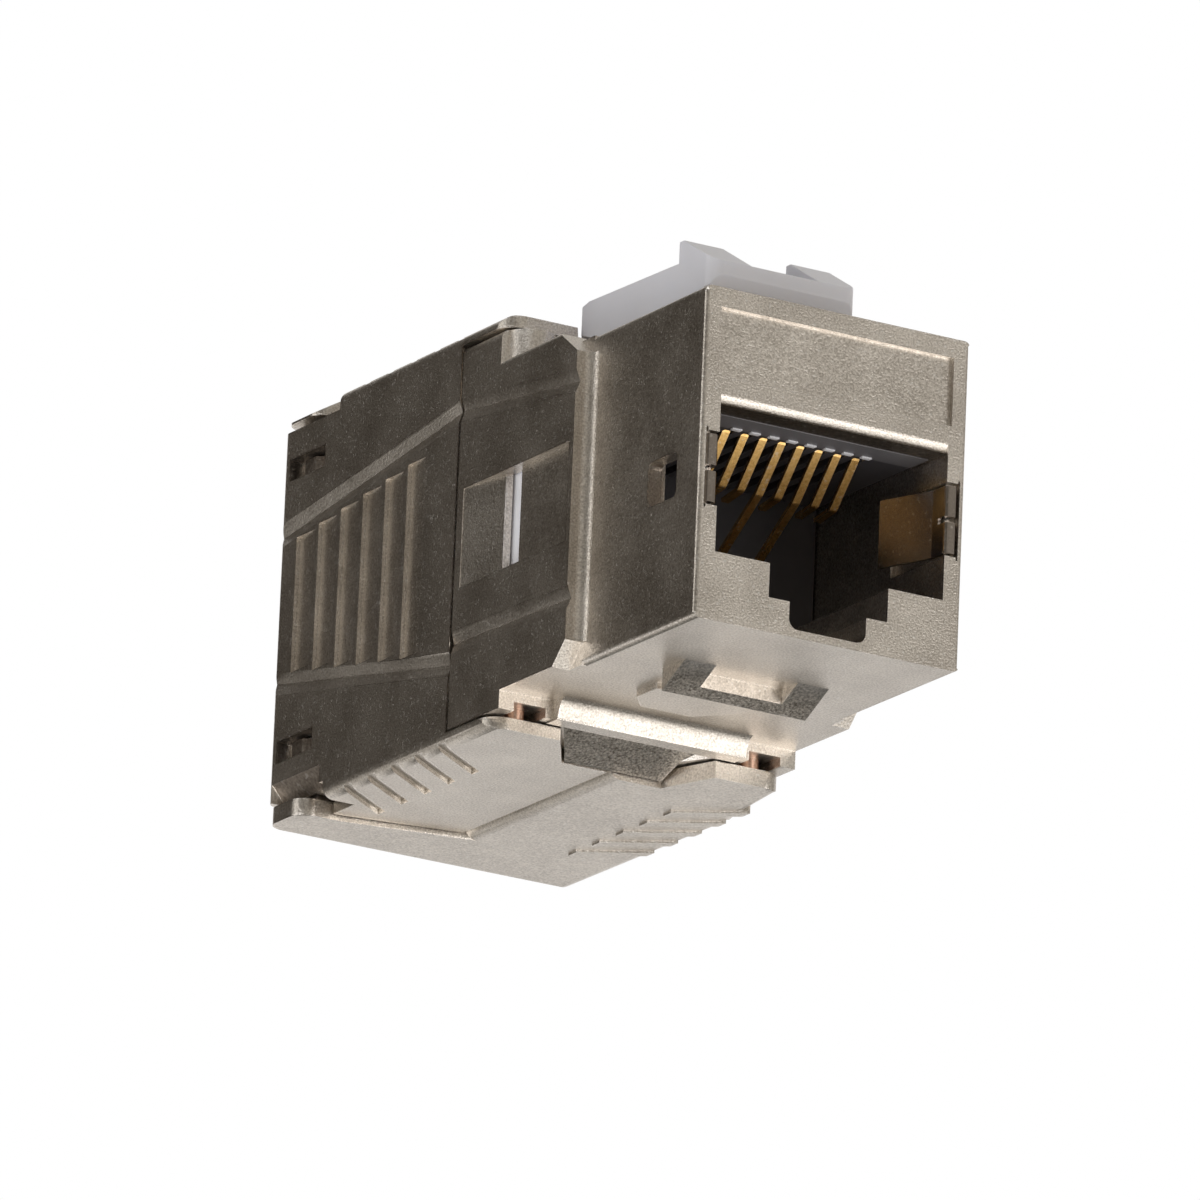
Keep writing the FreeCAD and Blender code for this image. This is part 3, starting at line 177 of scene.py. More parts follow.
# %% Group: cast grain
grain_group, inside, outside = start_group(
    "Cast grain",
    [("Vector", "Vector", None), ("Grain size", "Float", 0.12), ("Cloud size", "Float", 3.0)],
    [("Height", "Float"), ("Clouds", "Float"), ("Sparkle", "Float")])
link = grain_group.links.new
in_mm = add_node(grain_group, "ShaderNodeVectorMath", operation="SCALE")
in_mm.inputs["Scale"].default_value = 1 / MM
link(inside.outputs["Vector"], in_mm.inputs[0])
SCALES = (("Grain size", 2.0, 0.6, "Height"), ("Cloud size", 3.0, 0.55, "Clouds"))
for label, detail, roughness, target in SCALES:
    density = add_node(grain_group, "ShaderNodeMath", operation="DIVIDE")
    density.inputs[0].default_value = 1.0
    link(inside.outputs[label], density.inputs[1])
    noise = add_node(grain_group, "ShaderNodeTexNoise", {"Detail": detail, "Roughness": roughness})
    link(in_mm.outputs[0], noise.inputs["Vector"])
    link(density.outputs[0], noise.inputs["Scale"])
    link(noise.outputs["Fac"], outside.inputs[target])
    if target == "Height":
        facets = add_node(grain_group, "ShaderNodeTexVoronoi", feature="F1")
        link(in_mm.outputs[0], facets.inputs["Vector"])
        link(density.outputs[0], facets.inputs["Scale"])
        pick = add_node(grain_group, "ShaderNodeSeparateColor")
        link(facets.outputs["Color"], pick.inputs["Color"])
        few = add_node(grain_group, "ShaderNodeMapRange", {"From Min": 0.93, "From Max": 1.0})
        link(pick.outputs["Red"], few.inputs["Value"])
        link(few.outputs["Result"], outside.inputs["Sparkle"])

# %% [markdown]
# ## Edge wear and painted highlight
#
# Handling polishes a plated casting where it is proud, so its edges are smoother than its faces. They
# are also painted brighter: partly wear, partly a painted highlight for the light that round edges
# catch. The Bevel node looks a little way round each point, and where its rounded normal departs
# from the true one, an edge is near.

# %% Group: edge wear and painted highlight
wear_and_highlight_group, inside, outside = start_group(
    "Edge wear and painted highlight", [("Reach", "Float", 0.15), ("Breakup", "Float", 0.5)], [("Edge", "Float")])
link = wear_and_highlight_group.links.new
reach = add_node(wear_and_highlight_group, "ShaderNodeMath", operation="MULTIPLY")
reach.inputs[1].default_value = MM
link(inside.outputs["Reach"], reach.inputs[0])
rounded = add_node(wear_and_highlight_group, "ShaderNodeBevel", samples=4)
link(reach.outputs[0], rounded.inputs["Radius"])
true_normal = add_node(wear_and_highlight_group, "ShaderNodeNewGeometry")
same = add_node(wear_and_highlight_group, "ShaderNodeVectorMath", operation="DOT_PRODUCT")
link(rounded.outputs["Normal"], same.inputs[0])
link(true_normal.outputs["True Normal"], same.inputs[1])
near = add_node(wear_and_highlight_group, "ShaderNodeMapRange", {"From Min": 0.995, "From Max": 0.9})
link(same.outputs["Value"], near.inputs["Value"])
place = add_node(wear_and_highlight_group, "ShaderNodeTexCoord")
patchy = add_node(wear_and_highlight_group, "ShaderNodeTexNoise", {"Scale": 0.8 / MM, "Detail": 3.0})
link(place.outputs["Object"], patchy.inputs["Vector"])
fade = add_node(wear_and_highlight_group, "ShaderNodeMath", operation="MULTIPLY")
link(inside.outputs["Breakup"], fade.inputs[0])
link(patchy.outputs["Fac"], fade.inputs[1])
keep = add_node(wear_and_highlight_group, "ShaderNodeMath", operation="SUBTRACT", use_clamp=True)
link(near.outputs["Result"], keep.inputs[0])
link(fade.outputs[0], keep.inputs[1])
link(keep.outputs[0], outside.inputs["Edge"])

# %% [markdown]
# ## Plated metals
#
# Nickel, gold, bronze and steel share one recipe: a metallic shader whose tone follows the grain and
# the clouds and is lifted by a painted glint on the facets and by edge wear that is partly a painted
# highlight, whose roughness follows the clouds and drops at the edges, and whose bump follows the
# grain. Only the numbers differ, so the recipe is a function.

# %% Metals
def plated_metal(name, light, dark, roughness, grain=0.12, clouds=3.0, bump=0.25, depth=0.006,
                 edge=0.15, wear=0.35, sparkle=0.5, mottle=0.3):
    """Metal between two tones, with grain of a size in mm and a bump of a depth in mm."""
    material, tree, shader = start_material(name, metallic=1.0)
    link = tree.links.new
    place = add_node(tree, "ShaderNodeTexCoord")
    skin = place_group(tree, grain_group, grain_size=grain, cloud_size=clouds)
    link(place.outputs["Object"], skin.inputs["Vector"])
    proud = place_group(tree, wear_and_highlight_group, reach=edge, breakup=0.3)
    blend = add_node(tree, "ShaderNodeMix", data_type="FLOAT")
    blend.inputs["Factor"].default_value = mottle
    link(skin.outputs["Height"], blend.inputs["A"])
    link(skin.outputs["Clouds"], blend.inputs["B"])
    spread = add_node(tree, "ShaderNodeMapRange", {"From Min": 0.34, "From Max": 0.66})
    link(blend.outputs["Result"], spread.inputs["Value"])
    tone = add_node(tree, "ShaderNodeMix", data_type="RGBA")
    tone.inputs["A"].default_value = (*dark, 1)
    tone.inputs["B"].default_value = (*light, 1)
    link(spread.outputs["Result"], tone.inputs["Factor"])
    # The sparkle facets lift the base colour towards a pale tint: a painted glint.
    lift = add_node(tree, "ShaderNodeMix", data_type="RGBA", blend_type="SCREEN")
    lift.inputs["B"].default_value = (0.6, 0.58, 0.55, 1)
    link(tone.outputs["Result"], lift.inputs["A"])
    bright = add_node(tree, "ShaderNodeMath", operation="MULTIPLY_ADD", use_clamp=True)
    bright.inputs[1].default_value = sparkle
    link(skin.outputs["Sparkle"], bright.inputs[0])
    # The edge mask brightens the colour: edge wear, and partly a painted highlight of the light that
    # round edges catch.
    worn_and_lit = add_node(tree, "ShaderNodeMath", operation="MULTIPLY")
    worn_and_lit.inputs[1].default_value = wear
    link(proud.outputs["Edge"], worn_and_lit.inputs[0])
    link(worn_and_lit.outputs[0], bright.inputs[2])
    link(bright.outputs[0], lift.inputs["Factor"])
    link(lift.outputs["Result"], shader.inputs["Base Color"])
    rough = add_node(tree, "ShaderNodeMapRange", {"From Min": 0.25, "From Max": 0.75,
                                                  "To Min": roughness * 0.93, "To Max": roughness * 1.1})
    link(skin.outputs["Clouds"], rough.inputs["Value"])
    polish = add_node(tree, "ShaderNodeMath", operation="MULTIPLY")
    polish.inputs[1].default_value = 0.12
    link(proud.outputs["Edge"], polish.inputs[0])
    smoother = add_node(tree, "ShaderNodeMath", operation="SUBTRACT", use_clamp=True)
    link(rough.outputs["Result"], smoother.inputs[0])
    link(polish.outputs[0], smoother.inputs[1])
    link(smoother.outputs[0], shader.inputs["Roughness"])
    facets = add_node(tree, "ShaderNodeBump",
                      {"Strength": min(1.0, sparkle * 1.6), "Distance": depth * 1.5 * MM})
    link(skin.outputs["Sparkle"], facets.inputs["Height"])
    relief = add_node(tree, "ShaderNodeBump", {"Strength": bump, "Distance": depth * MM})
    link(skin.outputs["Height"], relief.inputs["Height"])
    link(facets.outputs["Normal"], relief.inputs["Normal"])
    link(relief.outputs["Normal"], shader.inputs["Normal"])
    return material


satin_nickel = plated_metal("satin nickel", (0.92, 0.86, 0.785), (0.48, 0.435, 0.385), 0.30,
                            grain=0.10, bump=0.9, depth=0.026, sparkle=0.6)
# Its darker tones are partly painted shade on the rough ramps and the keel.
cast_nickel_with_painted_shade = plated_metal("as-cast nickel", (0.80, 0.74, 0.67), (0.22, 0.195, 0.165), 0.42,
                           grain=0.13, clouds=0.6, bump=1.0, depth=0.05, wear=0.5, mottle=0.15)
# Its dark tones are painted shade for the port's ceiling and the faces in the hook slots.
shaded_inner_nickel = plated_metal("inner nickel, painted shade", (0.30, 0.26, 0.22), (0.14, 0.115, 0.095), 0.45,
                            grain=0.16, bump=0.7, depth=0.015, wear=0.2, sparkle=0.3)
spring_gold = plated_metal("spring gold", (0.90, 0.60, 0.24), (0.62, 0.36, 0.11), 0.27,
                           grain=0.14, bump=0.3, depth=0.004, edge=0.05)
tinned_bronze = plated_metal("tinned bronze", (0.74, 0.68, 0.56), (0.60, 0.52, 0.40), 0.32,
                             grain=0.08, bump=0.2, depth=0.003, edge=0.05)
pin_steel = plated_metal("pin steel", (0.86, 0.62, 0.50), (0.58, 0.36, 0.27), 0.30,
                         grain=0.12, bump=0.3, depth=0.006, edge=0.08)
clip_steel = plated_metal("clip steel", (0.42, 0.37, 0.33), (0.30, 0.26, 0.225), 0.24,
                          grain=0.10, bump=0.3, depth=0.004, edge=0.05)

# %% [markdown]
# ## Moulded plastics
#
# The latch and the wiring parts are moulded. A white moulding lets a little light in, has a soft
# gloss, and shows a very faint texture. The dark insert and the board are the same recipe in other
# colours.

# %% Plastics
def moulded_plastic(name, light, dark, roughness, scatter=0.0, grain=0.1, depth=0.003):
    """Plastic between two tones, with a share of the light scattered under its skin."""
    material, tree, shader = start_material(name, specular_ior_level=0.45)
    shader.inputs["Subsurface Weight"].default_value = scatter
    shader.inputs["Subsurface Radius"].default_value = (1.0, 0.9, 0.8)
    shader.inputs["Subsurface Scale"].default_value = 0.4 * MM
    link = tree.links.new
    place = add_node(tree, "ShaderNodeTexCoord")
    skin = place_group(tree, grain_group, grain_size=grain, cloud_size=2.5)
    link(place.outputs["Object"], skin.inputs["Vector"])
    tone = add_node(tree, "ShaderNodeMix", data_type="RGBA")
    tone.inputs["A"].default_value = (*dark, 1)
    tone.inputs["B"].default_value = (*light, 1)
    link(skin.outputs["Clouds"], tone.inputs["Factor"])
    link(tone.outputs["Result"], shader.inputs["Base Color"])
    rough = add_node(tree, "ShaderNodeMapRange", {"To Min": roughness * 0.85, "To Max": roughness * 1.15})
    link(skin.outputs["Clouds"], rough.inputs["Value"])
    link(rough.outputs["Result"], shader.inputs["Roughness"])
    relief = add_node(tree, "ShaderNodeBump", {"Strength": 0.3, "Distance": depth * MM})
    link(skin.outputs["Height"], relief.inputs["Height"])
    link(relief.outputs["Normal"], shader.inputs["Normal"])
    return material


latch_white = moulded_plastic("latch white", (0.82, 0.82, 0.87), (0.77, 0.77, 0.82), 0.40,
                              scatter=0.2)
# This white is brighter than the latch's: partly the block's own white, partly painted light that offsets
# the shade of its recess.
block_white_painted_brighter = moulded_plastic("block white, painted brighter", (0.90, 0.90, 0.94), (0.84, 0.84, 0.88), 0.45,
                              scatter=0.1)
insert_grey = moulded_plastic("insert grey", (0.20, 0.19, 0.20), (0.12, 0.115, 0.125), 0.40)
insert_black = moulded_plastic("insert black", (0.085, 0.080, 0.088), (0.045, 0.042, 0.048), 0.40)
board_green = moulded_plastic("board green", (0.03, 0.12, 0.06), (0.02, 0.08, 0.04), 0.35)

# %% [markdown]
# ## Rounded edges
#
# CAD pieces arrive as loose triangles with knife-sharp edges, but every cast, moulded or stamped
# edge is slightly round, and it is this round that shows as a bright line. So each piece is copied,
# its triangles are merged and dissolved into whole faces, and a Bevel modifier rounds every edge
# that is sharper than an angle. The copy then stands for the CAD piece.

# %% Round the edges of a copy
FINISH = {"die_cast": satin_nickel, "white_plastic": latch_white, "dark_plastic": insert_black,
          "board": board_green, "contact_gold": spring_gold, "blade_bronze": tinned_bronze,
          "pin_metal": pin_steel, "clip_steel": clip_steel}


def only(piece):
    """Selects one object and makes it the active one."""
    bpy.ops.object.select_all(action="DESELECT")
    piece.select_set(True)
    bpy.context.view_layer.objects.active = piece


def merged_copy(node_name, label):
    """A copy of a CAD piece, with its triangles merged into whole faces."""
    piece = bpy.data.objects.new(label, frame["nodes"][node_name].data.copy())
    bpy.context.scene.collection.objects.link(piece)
    only(piece)
    bpy.ops.mesh.customdata_custom_splitnormals_clear()
    bpy.ops.object.mode_set(mode="EDIT")
    bpy.ops.mesh.select_all(action="SELECT")
    bpy.ops.mesh.remove_doubles(threshold=0.002 * MM)
    bpy.ops.mesh.dissolve_limited(angle_limit=radians(1))
    bpy.ops.object.mode_set(mode="OBJECT")
    return piece


def split_notched_faces(piece):
    """Splits each face that has a notch, so that it can't fold over when its edges are rounded."""
    only(piece)
    bpy.ops.object.mode_set(mode="EDIT")
    bpy.ops.mesh.select_all(action="SELECT")
    bpy.ops.mesh.vert_connect_concave()
    bpy.ops.object.mode_set(mode="OBJECT")


def round_chosen(piece, wanted, width, segments=3):
    """Rounds the edges whose two ends, in mm, are both wanted."""
    only(piece)
    bpy.ops.object.mode_set(mode="EDIT")
    bpy.ops.mesh.select_all(action="DESELECT")
    bpy.ops.object.mode_set(mode="OBJECT")
    points = piece.data.vertices
    for edge in piece.data.edges:
        ends = [points[index].co / MM for index in edge.vertices]
        edge.select = wanted(*ends)
    bpy.ops.object.mode_set(mode="EDIT")
    bpy.ops.mesh.select_mode(type="EDGE")
    bpy.ops.mesh.bevel(offset=width * MM, segments=segments, affect="EDGES")
    bpy.ops.mesh.select_mode(type="VERT")
    bpy.ops.object.mode_set(mode="OBJECT")


def round_edges(piece, width, segments=2, angle=28):
    """Rounds every sharp edge by a width in mm."""
    only(piece)
    bevel = piece.modifiers.new("round", "BEVEL")
    bevel.width = width * MM
    bevel.segments = segments
    bevel.limit_method = "ANGLE"
    bevel.angle_limit = radians(angle)
    bevel.use_clamp_overlap = True
    bpy.ops.object.modifier_apply(modifier=bevel.name)
    bpy.ops.object.shade_smooth_by_angle(angle=radians(35))
    even = piece.modifiers.new("even", "WEIGHTED_NORMAL")
    even.keep_sharp = True
    bpy.ops.object.modifier_apply(modifier=even.name)
    print(piece.name, "faces", len(piece.data.polygons))


def stand_for(piece, node_name, slot, *materials):
    """Gives a piece its materials and body, and hides the CAD piece that it stands for. The slot is not
    used.
    """
    piece.data.materials.clear()
    for material in materials:
        piece.data.materials.append(material)
    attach(piece, body_of(frame["nodes"][node_name])[0])
    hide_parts(node_name)


def other_finish(piece, place, wanted):
    """Gives a material of the piece's list to each face whose centre and normal are wanted."""
    count = 0
    for face in piece.data.polygons:
        if wanted(face.center / MM, face.normal):
            face.material_index = place
            count += 1
    print(piece.name, "faces in", piece.data.materials[place].name, count)


def box_piece(low, high):
    """A box between two corners in mm, from a cube primitive."""
    bpy.ops.object.select_all(action="DESELECT")
    low, high = Vector(low), Vector(high)
    bpy.ops.mesh.primitive_cube_add(size=1, location=(low + high) / 2 * MM, scale=(high - low) * MM)
    bpy.ops.object.transform_apply()
    return bpy.context.object


def combine(piece, tool, operation):
    """Cuts a tool out of a piece, or joins it on, and deletes the tool."""
    only(piece)
    change = piece.modifiers.new("change", "BOOLEAN")
    change.object = tool
    change.operation = operation
    change.solver = "EXACT"
    bpy.ops.object.modifier_apply(modifier=change.name)
    bpy.data.objects.remove(tool, do_unlink=True)


def shift_points(piece, wanted, move):
    """Moves the points, given in mm, that are wanted."""
    count = 0
    for point in piece.data.vertices:
        place = point.co / MM
        if wanted(place):
            point.co = move(place) * MM
            count += 1
    print(piece.name, "points moved:", count)

# %% [markdown]
# ## The housing: ears, pockets and beam
#
# The casting carries the most detail. Under the rear body a plain beam joins two square ears, and
# each ear has an open pocket in which the foot of a hinge pin shows. So each ear is filled, cut
# back a little in front, and gets a new pocket that is open at the bottom. The beam's underside is
# trimmed to the ears', and its front becomes a face that leans back between them, with a soft
# hollow where it meets the block.

# %% Housing: ears, pockets and beam
BLOCK_BOTTOM, EAR_BOTTOM, BEAM_BOTTOM = -8.1, -9.0, -9.08
PIN_X, POCKET_HALF, POCKET_HEIGHT = 6.5, 0.87, 0.45
EAR_INNER, EAR_FRONT = 5.2, 16.0
BEAM_HALF, BEAM_FRONT, BEAM_LEAN, BEAM_HOLLOW = 5.3, 15.62, 0.3, 0.35
BEYOND = 0.2   # how far a cutter reaches out of the casting
housing = merged_copy("housing", "cast_housing")


def side_box(side, x_range, y_range, z_range):
    """A box on the side -1 or 1 of the middle plane, in mm."""
    low_x, high_x = sorted(side * x for x in x_range)
    return box_piece((low_x, y_range[0], z_range[0]), (high_x, y_range[1], z_range[1]))


for side in (-1, 1):
    filling = side_box(side, (BEAM_HALF, 7.7), (15.6, 18.45), (EAR_BOTTOM + 0.03, BLOCK_BOTTOM - 0.02))
    combine(housing, filling, "UNION")
    front = side_box(side, (EAR_INNER, 8.4), (14.3, EAR_FRONT), (EAR_BOTTOM - BEYOND, BLOCK_BOTTOM))
    combine(housing, front, "DIFFERENCE")
    pocket = side_box(side, (PIN_X - POCKET_HALF, PIN_X + POCKET_HALF), (15.5, 18.3),
                      (EAR_BOTTOM - BEYOND, EAR_BOTTOM + POCKET_HEIGHT))
    combine(housing, pocket, "DIFFERENCE")
combine(housing, box_piece((-5.4, 15.0, -9.6), (5.4, 16.62, BEAM_BOTTOM)), "DIFFERENCE")


def within(p, x_range, y_range, z_range):
    """Whether a point lies in a box in mm, on either side of the middle plane."""
    return (x_range[0] < abs(p.x) < x_range[1] and y_range[0] < p.y < y_range[1]
            and z_range[0] < p.z < z_range[1])


def lean_beam_front(p):
    """The new place of a point on the beam's front."""
    rise = (p.z - BEAM_BOTTOM) / (BLOCK_BOTTOM - BEAM_BOTTOM)
    return Vector((p.x, BEAM_FRONT - BEAM_LEAN * rise - BEAM_HOLLOW * max(rise, 0) ** 6, p.z))


shift_points(housing, lambda p: within(p, (-1, BEAM_HALF), (14.2, 15.6), (-9.1, -8.08)), lean_beam_front)

# %% [markdown]
# ## The housing: channel, window, pad and keel
#
# A few edges are moved. The side channel's floor runs out to the body's rear edge, the window in it
# sits a little further back, the pad under the block is shorter on its right, and the keel's rear
# corner reaches further right.

# %% Housing: channel, window, pad and keel
CHANNEL = (-2.2, 2.9)   # its lower and upper limit
FLOOR_X, REAR_EDGE_X = 7.85, 8.17
WINDOW_MOVES = ((16.4, 16.85), (14.7, 15.35))   # old and new places of its edges
shift_points(housing, lambda p: within(p, (FLOOR_X - 0.02, FLOOR_X + 0.02), (20.1, 20.3), CHANNEL),
             lambda p: Vector((p.x * REAR_EDGE_X / FLOOR_X, p.y, p.z)))
for old_y, new_y in WINDOW_MOVES:
    shift_points(housing, lambda p: within(p, (7.3, 8), (old_y - 0.02, old_y + 0.02), CHANNEL),
                 lambda p: Vector((p.x, new_y, p.z)))
shift_points(housing, lambda p: p.x > 0 and within(p, (1.4, 3.2), (10, 13.5), (-12, -8.3)),
             lambda p: p - Vector((1.3, 0, 0)))
CORNER_SHIFT = Vector((0.9, 0, 0))   # of the keel's rear corner, and of the wing's corner behind it
shift_points(housing, lambda p: p.x > 0 and within(p, (2.21, 2.27), (19.82, 19.88), (-12, BLOCK_BOTTOM)),
             lambda p: p + CORNER_SHIFT)

# %% [markdown]
# ## The housing: edges and finishes
#
# The upright edges of the front face are rounder than the rest. The claw's ramp and the keel are
# left rough from the mould, so their faces get a coarser finish, whose darker tone is partly painted
# shade, and the port's ceiling gets a dark nickel that is painted shade.

# %% Housing: edges and finishes
def on_front_corner(a, b):
    """Whether an edge stands upright at a side of the front face."""
    return (abs(a.y) < 0.02 and abs(b.y) < 0.02 and abs(a.x - b.x) < 0.02
            and abs(abs(a.x) - 7.25) < 0.02)


def on_port_ceiling(p, n):
    return n.z < -0.9 and abs(p.z - 2.5) < 0.05 and 0.3 < p.y < 4 and abs(p.x) < 6.3


def on_rough_ramp(p, n):
    return n.z < -0.75 and -0.62 < n.y < -0.2 and (5 < p.y < 8.5 or p.y > 16.4)


round_chosen(housing, on_front_corner, 0.22, segments=4)
round_edges(housing, 0.09)
stand_for(housing, "housing", "die_cast", satin_nickel, cast_nickel_with_painted_shade, shaded_inner_nickel)
# The port's ceiling takes the darker nickel: painted shade.
other_finish(housing, 2, on_port_ceiling)
# The rough ramps take the coarser cast finish, whose darker tone is partly painted shade.
other_finish(housing, 1, on_rough_ramp)

# %% [markdown]
# ## The wings
#
# The ribs on the wings' sides are shallow: only their front faces catch light, as narrow lines. So
# their valleys are lifted towards the surface and the whole row is set back. Under the right wing
# the slanting grips are raised bars that stick out a little at its side, and the corner of its
# cut-out follows the keel. The slots for the closing hooks look into the dark inside of the shell,
# whose faces get a darker nickel: painted shade.

# %% Wings
RIB_FRONT, RIB_PITCH, RIB_LAND = 25.0, 2.1, 0.35
RIB_LIFT, RIB_SETBACK = 0.18, 0.6
VALLEY_X = {"left_wing": 7.8, "right_wing": 8.6}
GRIP_COUNT, GRIP_PITCH, GRIP_SLOPE, GRIP_SHIFT = 5, 2.2, 0.765, 1.0
GRIP_INNER_X, GRIP_LOW, GRIP_HIGH = 4.63, -10.05, -9.6
BAR_START, BAR_END, BAR_FRONT, BAR_WIDTH = 5.6, 8.62, 22.955, 0.72


def on_step(y, first):
    """Whether y is that of a step in a row that holds a first one and has the ribs' pitch."""
    return abs((y - first + 0.5) % RIB_PITCH - 0.5) < 0.03


def make_ribs_shallow(wing, valley_x):
    shift_points(wing, lambda p: abs(abs(p.x) - valley_x) < 0.03 and on_step(p.y, RIB_FRONT) and p.y < 36,
                 lambda p: Vector((p.x * (valley_x + RIB_LIFT) / valley_x, p.y, p.z)))
    for first in (RIB_FRONT, RIB_FRONT - RIB_PITCH + RIB_LAND):
        shift_points(wing, lambda p: on_step(p.y, first)
                     and within(p, (valley_x - 0.05, 10), (23.2, 35.6), (-4.45, 5.35)),
                     lambda p: p + Vector((0, RIB_SETBACK, 0)))


def raise_grips(wing):
    """Shortens the grips at their inner ends and fills those of the lower plate with raised bars."""
    along = Vector((1, -GRIP_SLOPE, 0))
    shift_points(wing, lambda p: abs(p.x - GRIP_INNER_X) < 0.03 and 23.5 < p.y < 33.5,
                 lambda p: p + GRIP_SHIFT * along)
    shift_points(wing, lambda p: p.x > 0 and within(p, (2.27, 2.33), (19.97, 20.03), (-12, -8.9)),
                 lambda p: p + CORNER_SHIFT)
    for index in range(GRIP_COUNT):
        front = BAR_FRONT + index * GRIP_PITCH
        bar = box_piece((BAR_START, front, GRIP_LOW), (BAR_END, front + BAR_WIDTH, GRIP_HIGH))
        shift_points(bar, lambda p: True,
                     lambda p: Vector((p.x, p.y - GRIP_SLOPE * (p.x - BAR_START - 0.03), p.z)))
        combine(wing, bar, "UNION")


def in_hook_slot(p, n):
    return 33.4 < p.y < 37.0 and abs(p.x) < 8.1 and abs(p.z) > 4.6 and -8.6 < p.z < 9.6


for name, valley_x in VALLEY_X.items():
    wing = merged_copy(name, "cast_" + name)
    split_notched_faces(wing)
    make_ribs_shallow(wing, valley_x)
    if name == "right_wing":
        raise_grips(wing)
    round_edges(wing, 0.10)
    stand_for(wing, name, "die_cast", satin_nickel, shaded_inner_nickel)
    # The faces inside the hook slots take the darker nickel: painted shade.
    other_finish(wing, 1, in_hook_slot)

# %% [markdown]
# ## The latch
#
# The latch is one soft white moulding. Its corners are generously round, and its rear end leans
# forward, so the whole lever reads as a smooth pebble beside the crisp casting.

# %% Latch
LATCH_LEAN = Vector((0, -0.5, 0))
latch = merged_copy("keystone_latch", "moulded_latch")
shift_points(latch, lambda p: p.y > 19.2 and p.z > 11.0, lambda p: p + LATCH_LEAN)
round_edges(latch, 0.32, segments=4)
stand_for(latch, "keystone_latch", "white_plastic", latch_white)

# %% [markdown]
# ## The comb's front and pads
#
# The insert above the port ends in a comb, whose grey front strip lies under the port's ceiling. On
# it, beside each contact, sits a small white pad: a painted highlight for the light that the
# contacts' folds catch.

# %% Strip and pads of the comb
STRIP_HALF, STRIP_FRONT, STRIP_REAR = 6.1, 1.5, 3.12
STRIP_BOTTOM, STRIP_TOP = 2.43, 2.499
PAD_COUNT, PAD_PITCH, PAD_HALF, PAD_HEIGHT = 8, 1.02, 0.27, 0.09
EDGE = 0.03


def join_as(pieces, name, material):
    """Joins pieces that sit on the insert into one, with a name, a material and a body."""
    only(pieces[0])
    for piece in pieces:
        piece.select_set(True)
    bpy.ops.object.join()
    joined = bpy.context.object
    joined.name = name
    joined.data.materials.clear()
    joined.data.materials.append(material)
    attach(joined, body_of(frame["nodes"]["contact_carrier"])[0])
    print(name, "faces", len(joined.data.polygons))


strip = box_piece((-STRIP_HALF, STRIP_FRONT, STRIP_BOTTOM), (STRIP_HALF, STRIP_REAR, STRIP_TOP))
round_edges(strip, EDGE)
join_as([strip], "comb_strip", insert_grey)
# Each white pad is a painted highlight where the contacts' folds catch the light.
white_highlights = []
for index in range(PAD_COUNT):
    x = (index - (PAD_COUNT - 1) / 2) * PAD_PITCH - 0.05
    pad = box_piece((x - PAD_HALF, STRIP_REAR - 0.35, STRIP_BOTTOM - PAD_HEIGHT),
                    (x + PAD_HALF, STRIP_REAR - 0.05, STRIP_BOTTOM))
    round_edges(pad, EDGE)
    white_highlights.append(pad)
join_as(white_highlights, "comb_white_highlights", block_white_painted_brighter)

# %% [markdown]
# ## The pieces that keep their CAD shape
#
# The inner pieces, the contacts, the clips and the pins stay as they come. Each one's finish follows
# from the name of its CAD material.

# %% Finish the pieces that keep their CAD shape
for name, node in frame["nodes"].items():
    for slot in node.material_slots:
        base = slot.material.name.split(".")[0] if slot.material else ""
        slot.material = FINISH.get(base, satin_nickel)
        # The wiring block takes the brighter white, partly painted light against the shade of its recess.
        if name == "idc_block":
            slot.material = block_white_painted_brighter
        print(name, base)

# %% [markdown]
# ## The studio
#
# A plated part shows its surroundings more than its own colour, so the room matters more than the
# lamps. Here it is a grey room with soft patches of light and dark: a backdrop and a front floor
# light the underside, a soft box lights the front, and a dark card behind and a dark table below
# give the left sides and the ramps their depth. The camera sees plain white.

# %% World
world = bpy.data.worlds.new("studio")
bpy.context.scene.world = world
world.use_nodes = True
tree = world.node_tree
tree.nodes.clear()
link = tree.links.new
direction = add_node(tree, "ShaderNodeTexCoord")
ROOM = (0.375, 0.355, 0.32)
# Each patch: the direction towards it, the cosines where it starts and is full, and its light.
PATCHES = {"upper left": ((-0.72, -0.10, 0.69), 0.70, 0.90, (0.8, 0.8, 0.8)),
           "lower left": ((-0.80, -0.15, -0.58), 0.72, 0.92, (1.8, 1.8, 1.8)),
           "left wall": ((-0.83, -0.49, 0.288), 0.80, 0.94, (0.17, 0.158, 0.138)),
           "strip light": ((-0.925, 0.24, 0.288), 0.975, 0.992, (1.9, 1.85, 1.75)),
           "backdrop": ((0.50, 0.84, -0.12), 0.55, 0.92, (0.89, 0.87, 0.85)),
           "dark card": ((-0.485, 0.826, 0.288), 0.72, 0.93, (0.042, 0.035, 0.028)),
           "table": ((0.35, 0.20, -0.92), 0.60, 0.86, (0.12, 0.115, 0.105)),
           "front floor": ((0.485, -0.524, -0.70), 0.85, 0.96, (1.3, 1.27, 1.22)),
           "soft box": ((0.485, -0.826, -0.30), 0.90, 0.97, (2.3, 2.25, 2.2))}
light_now = None
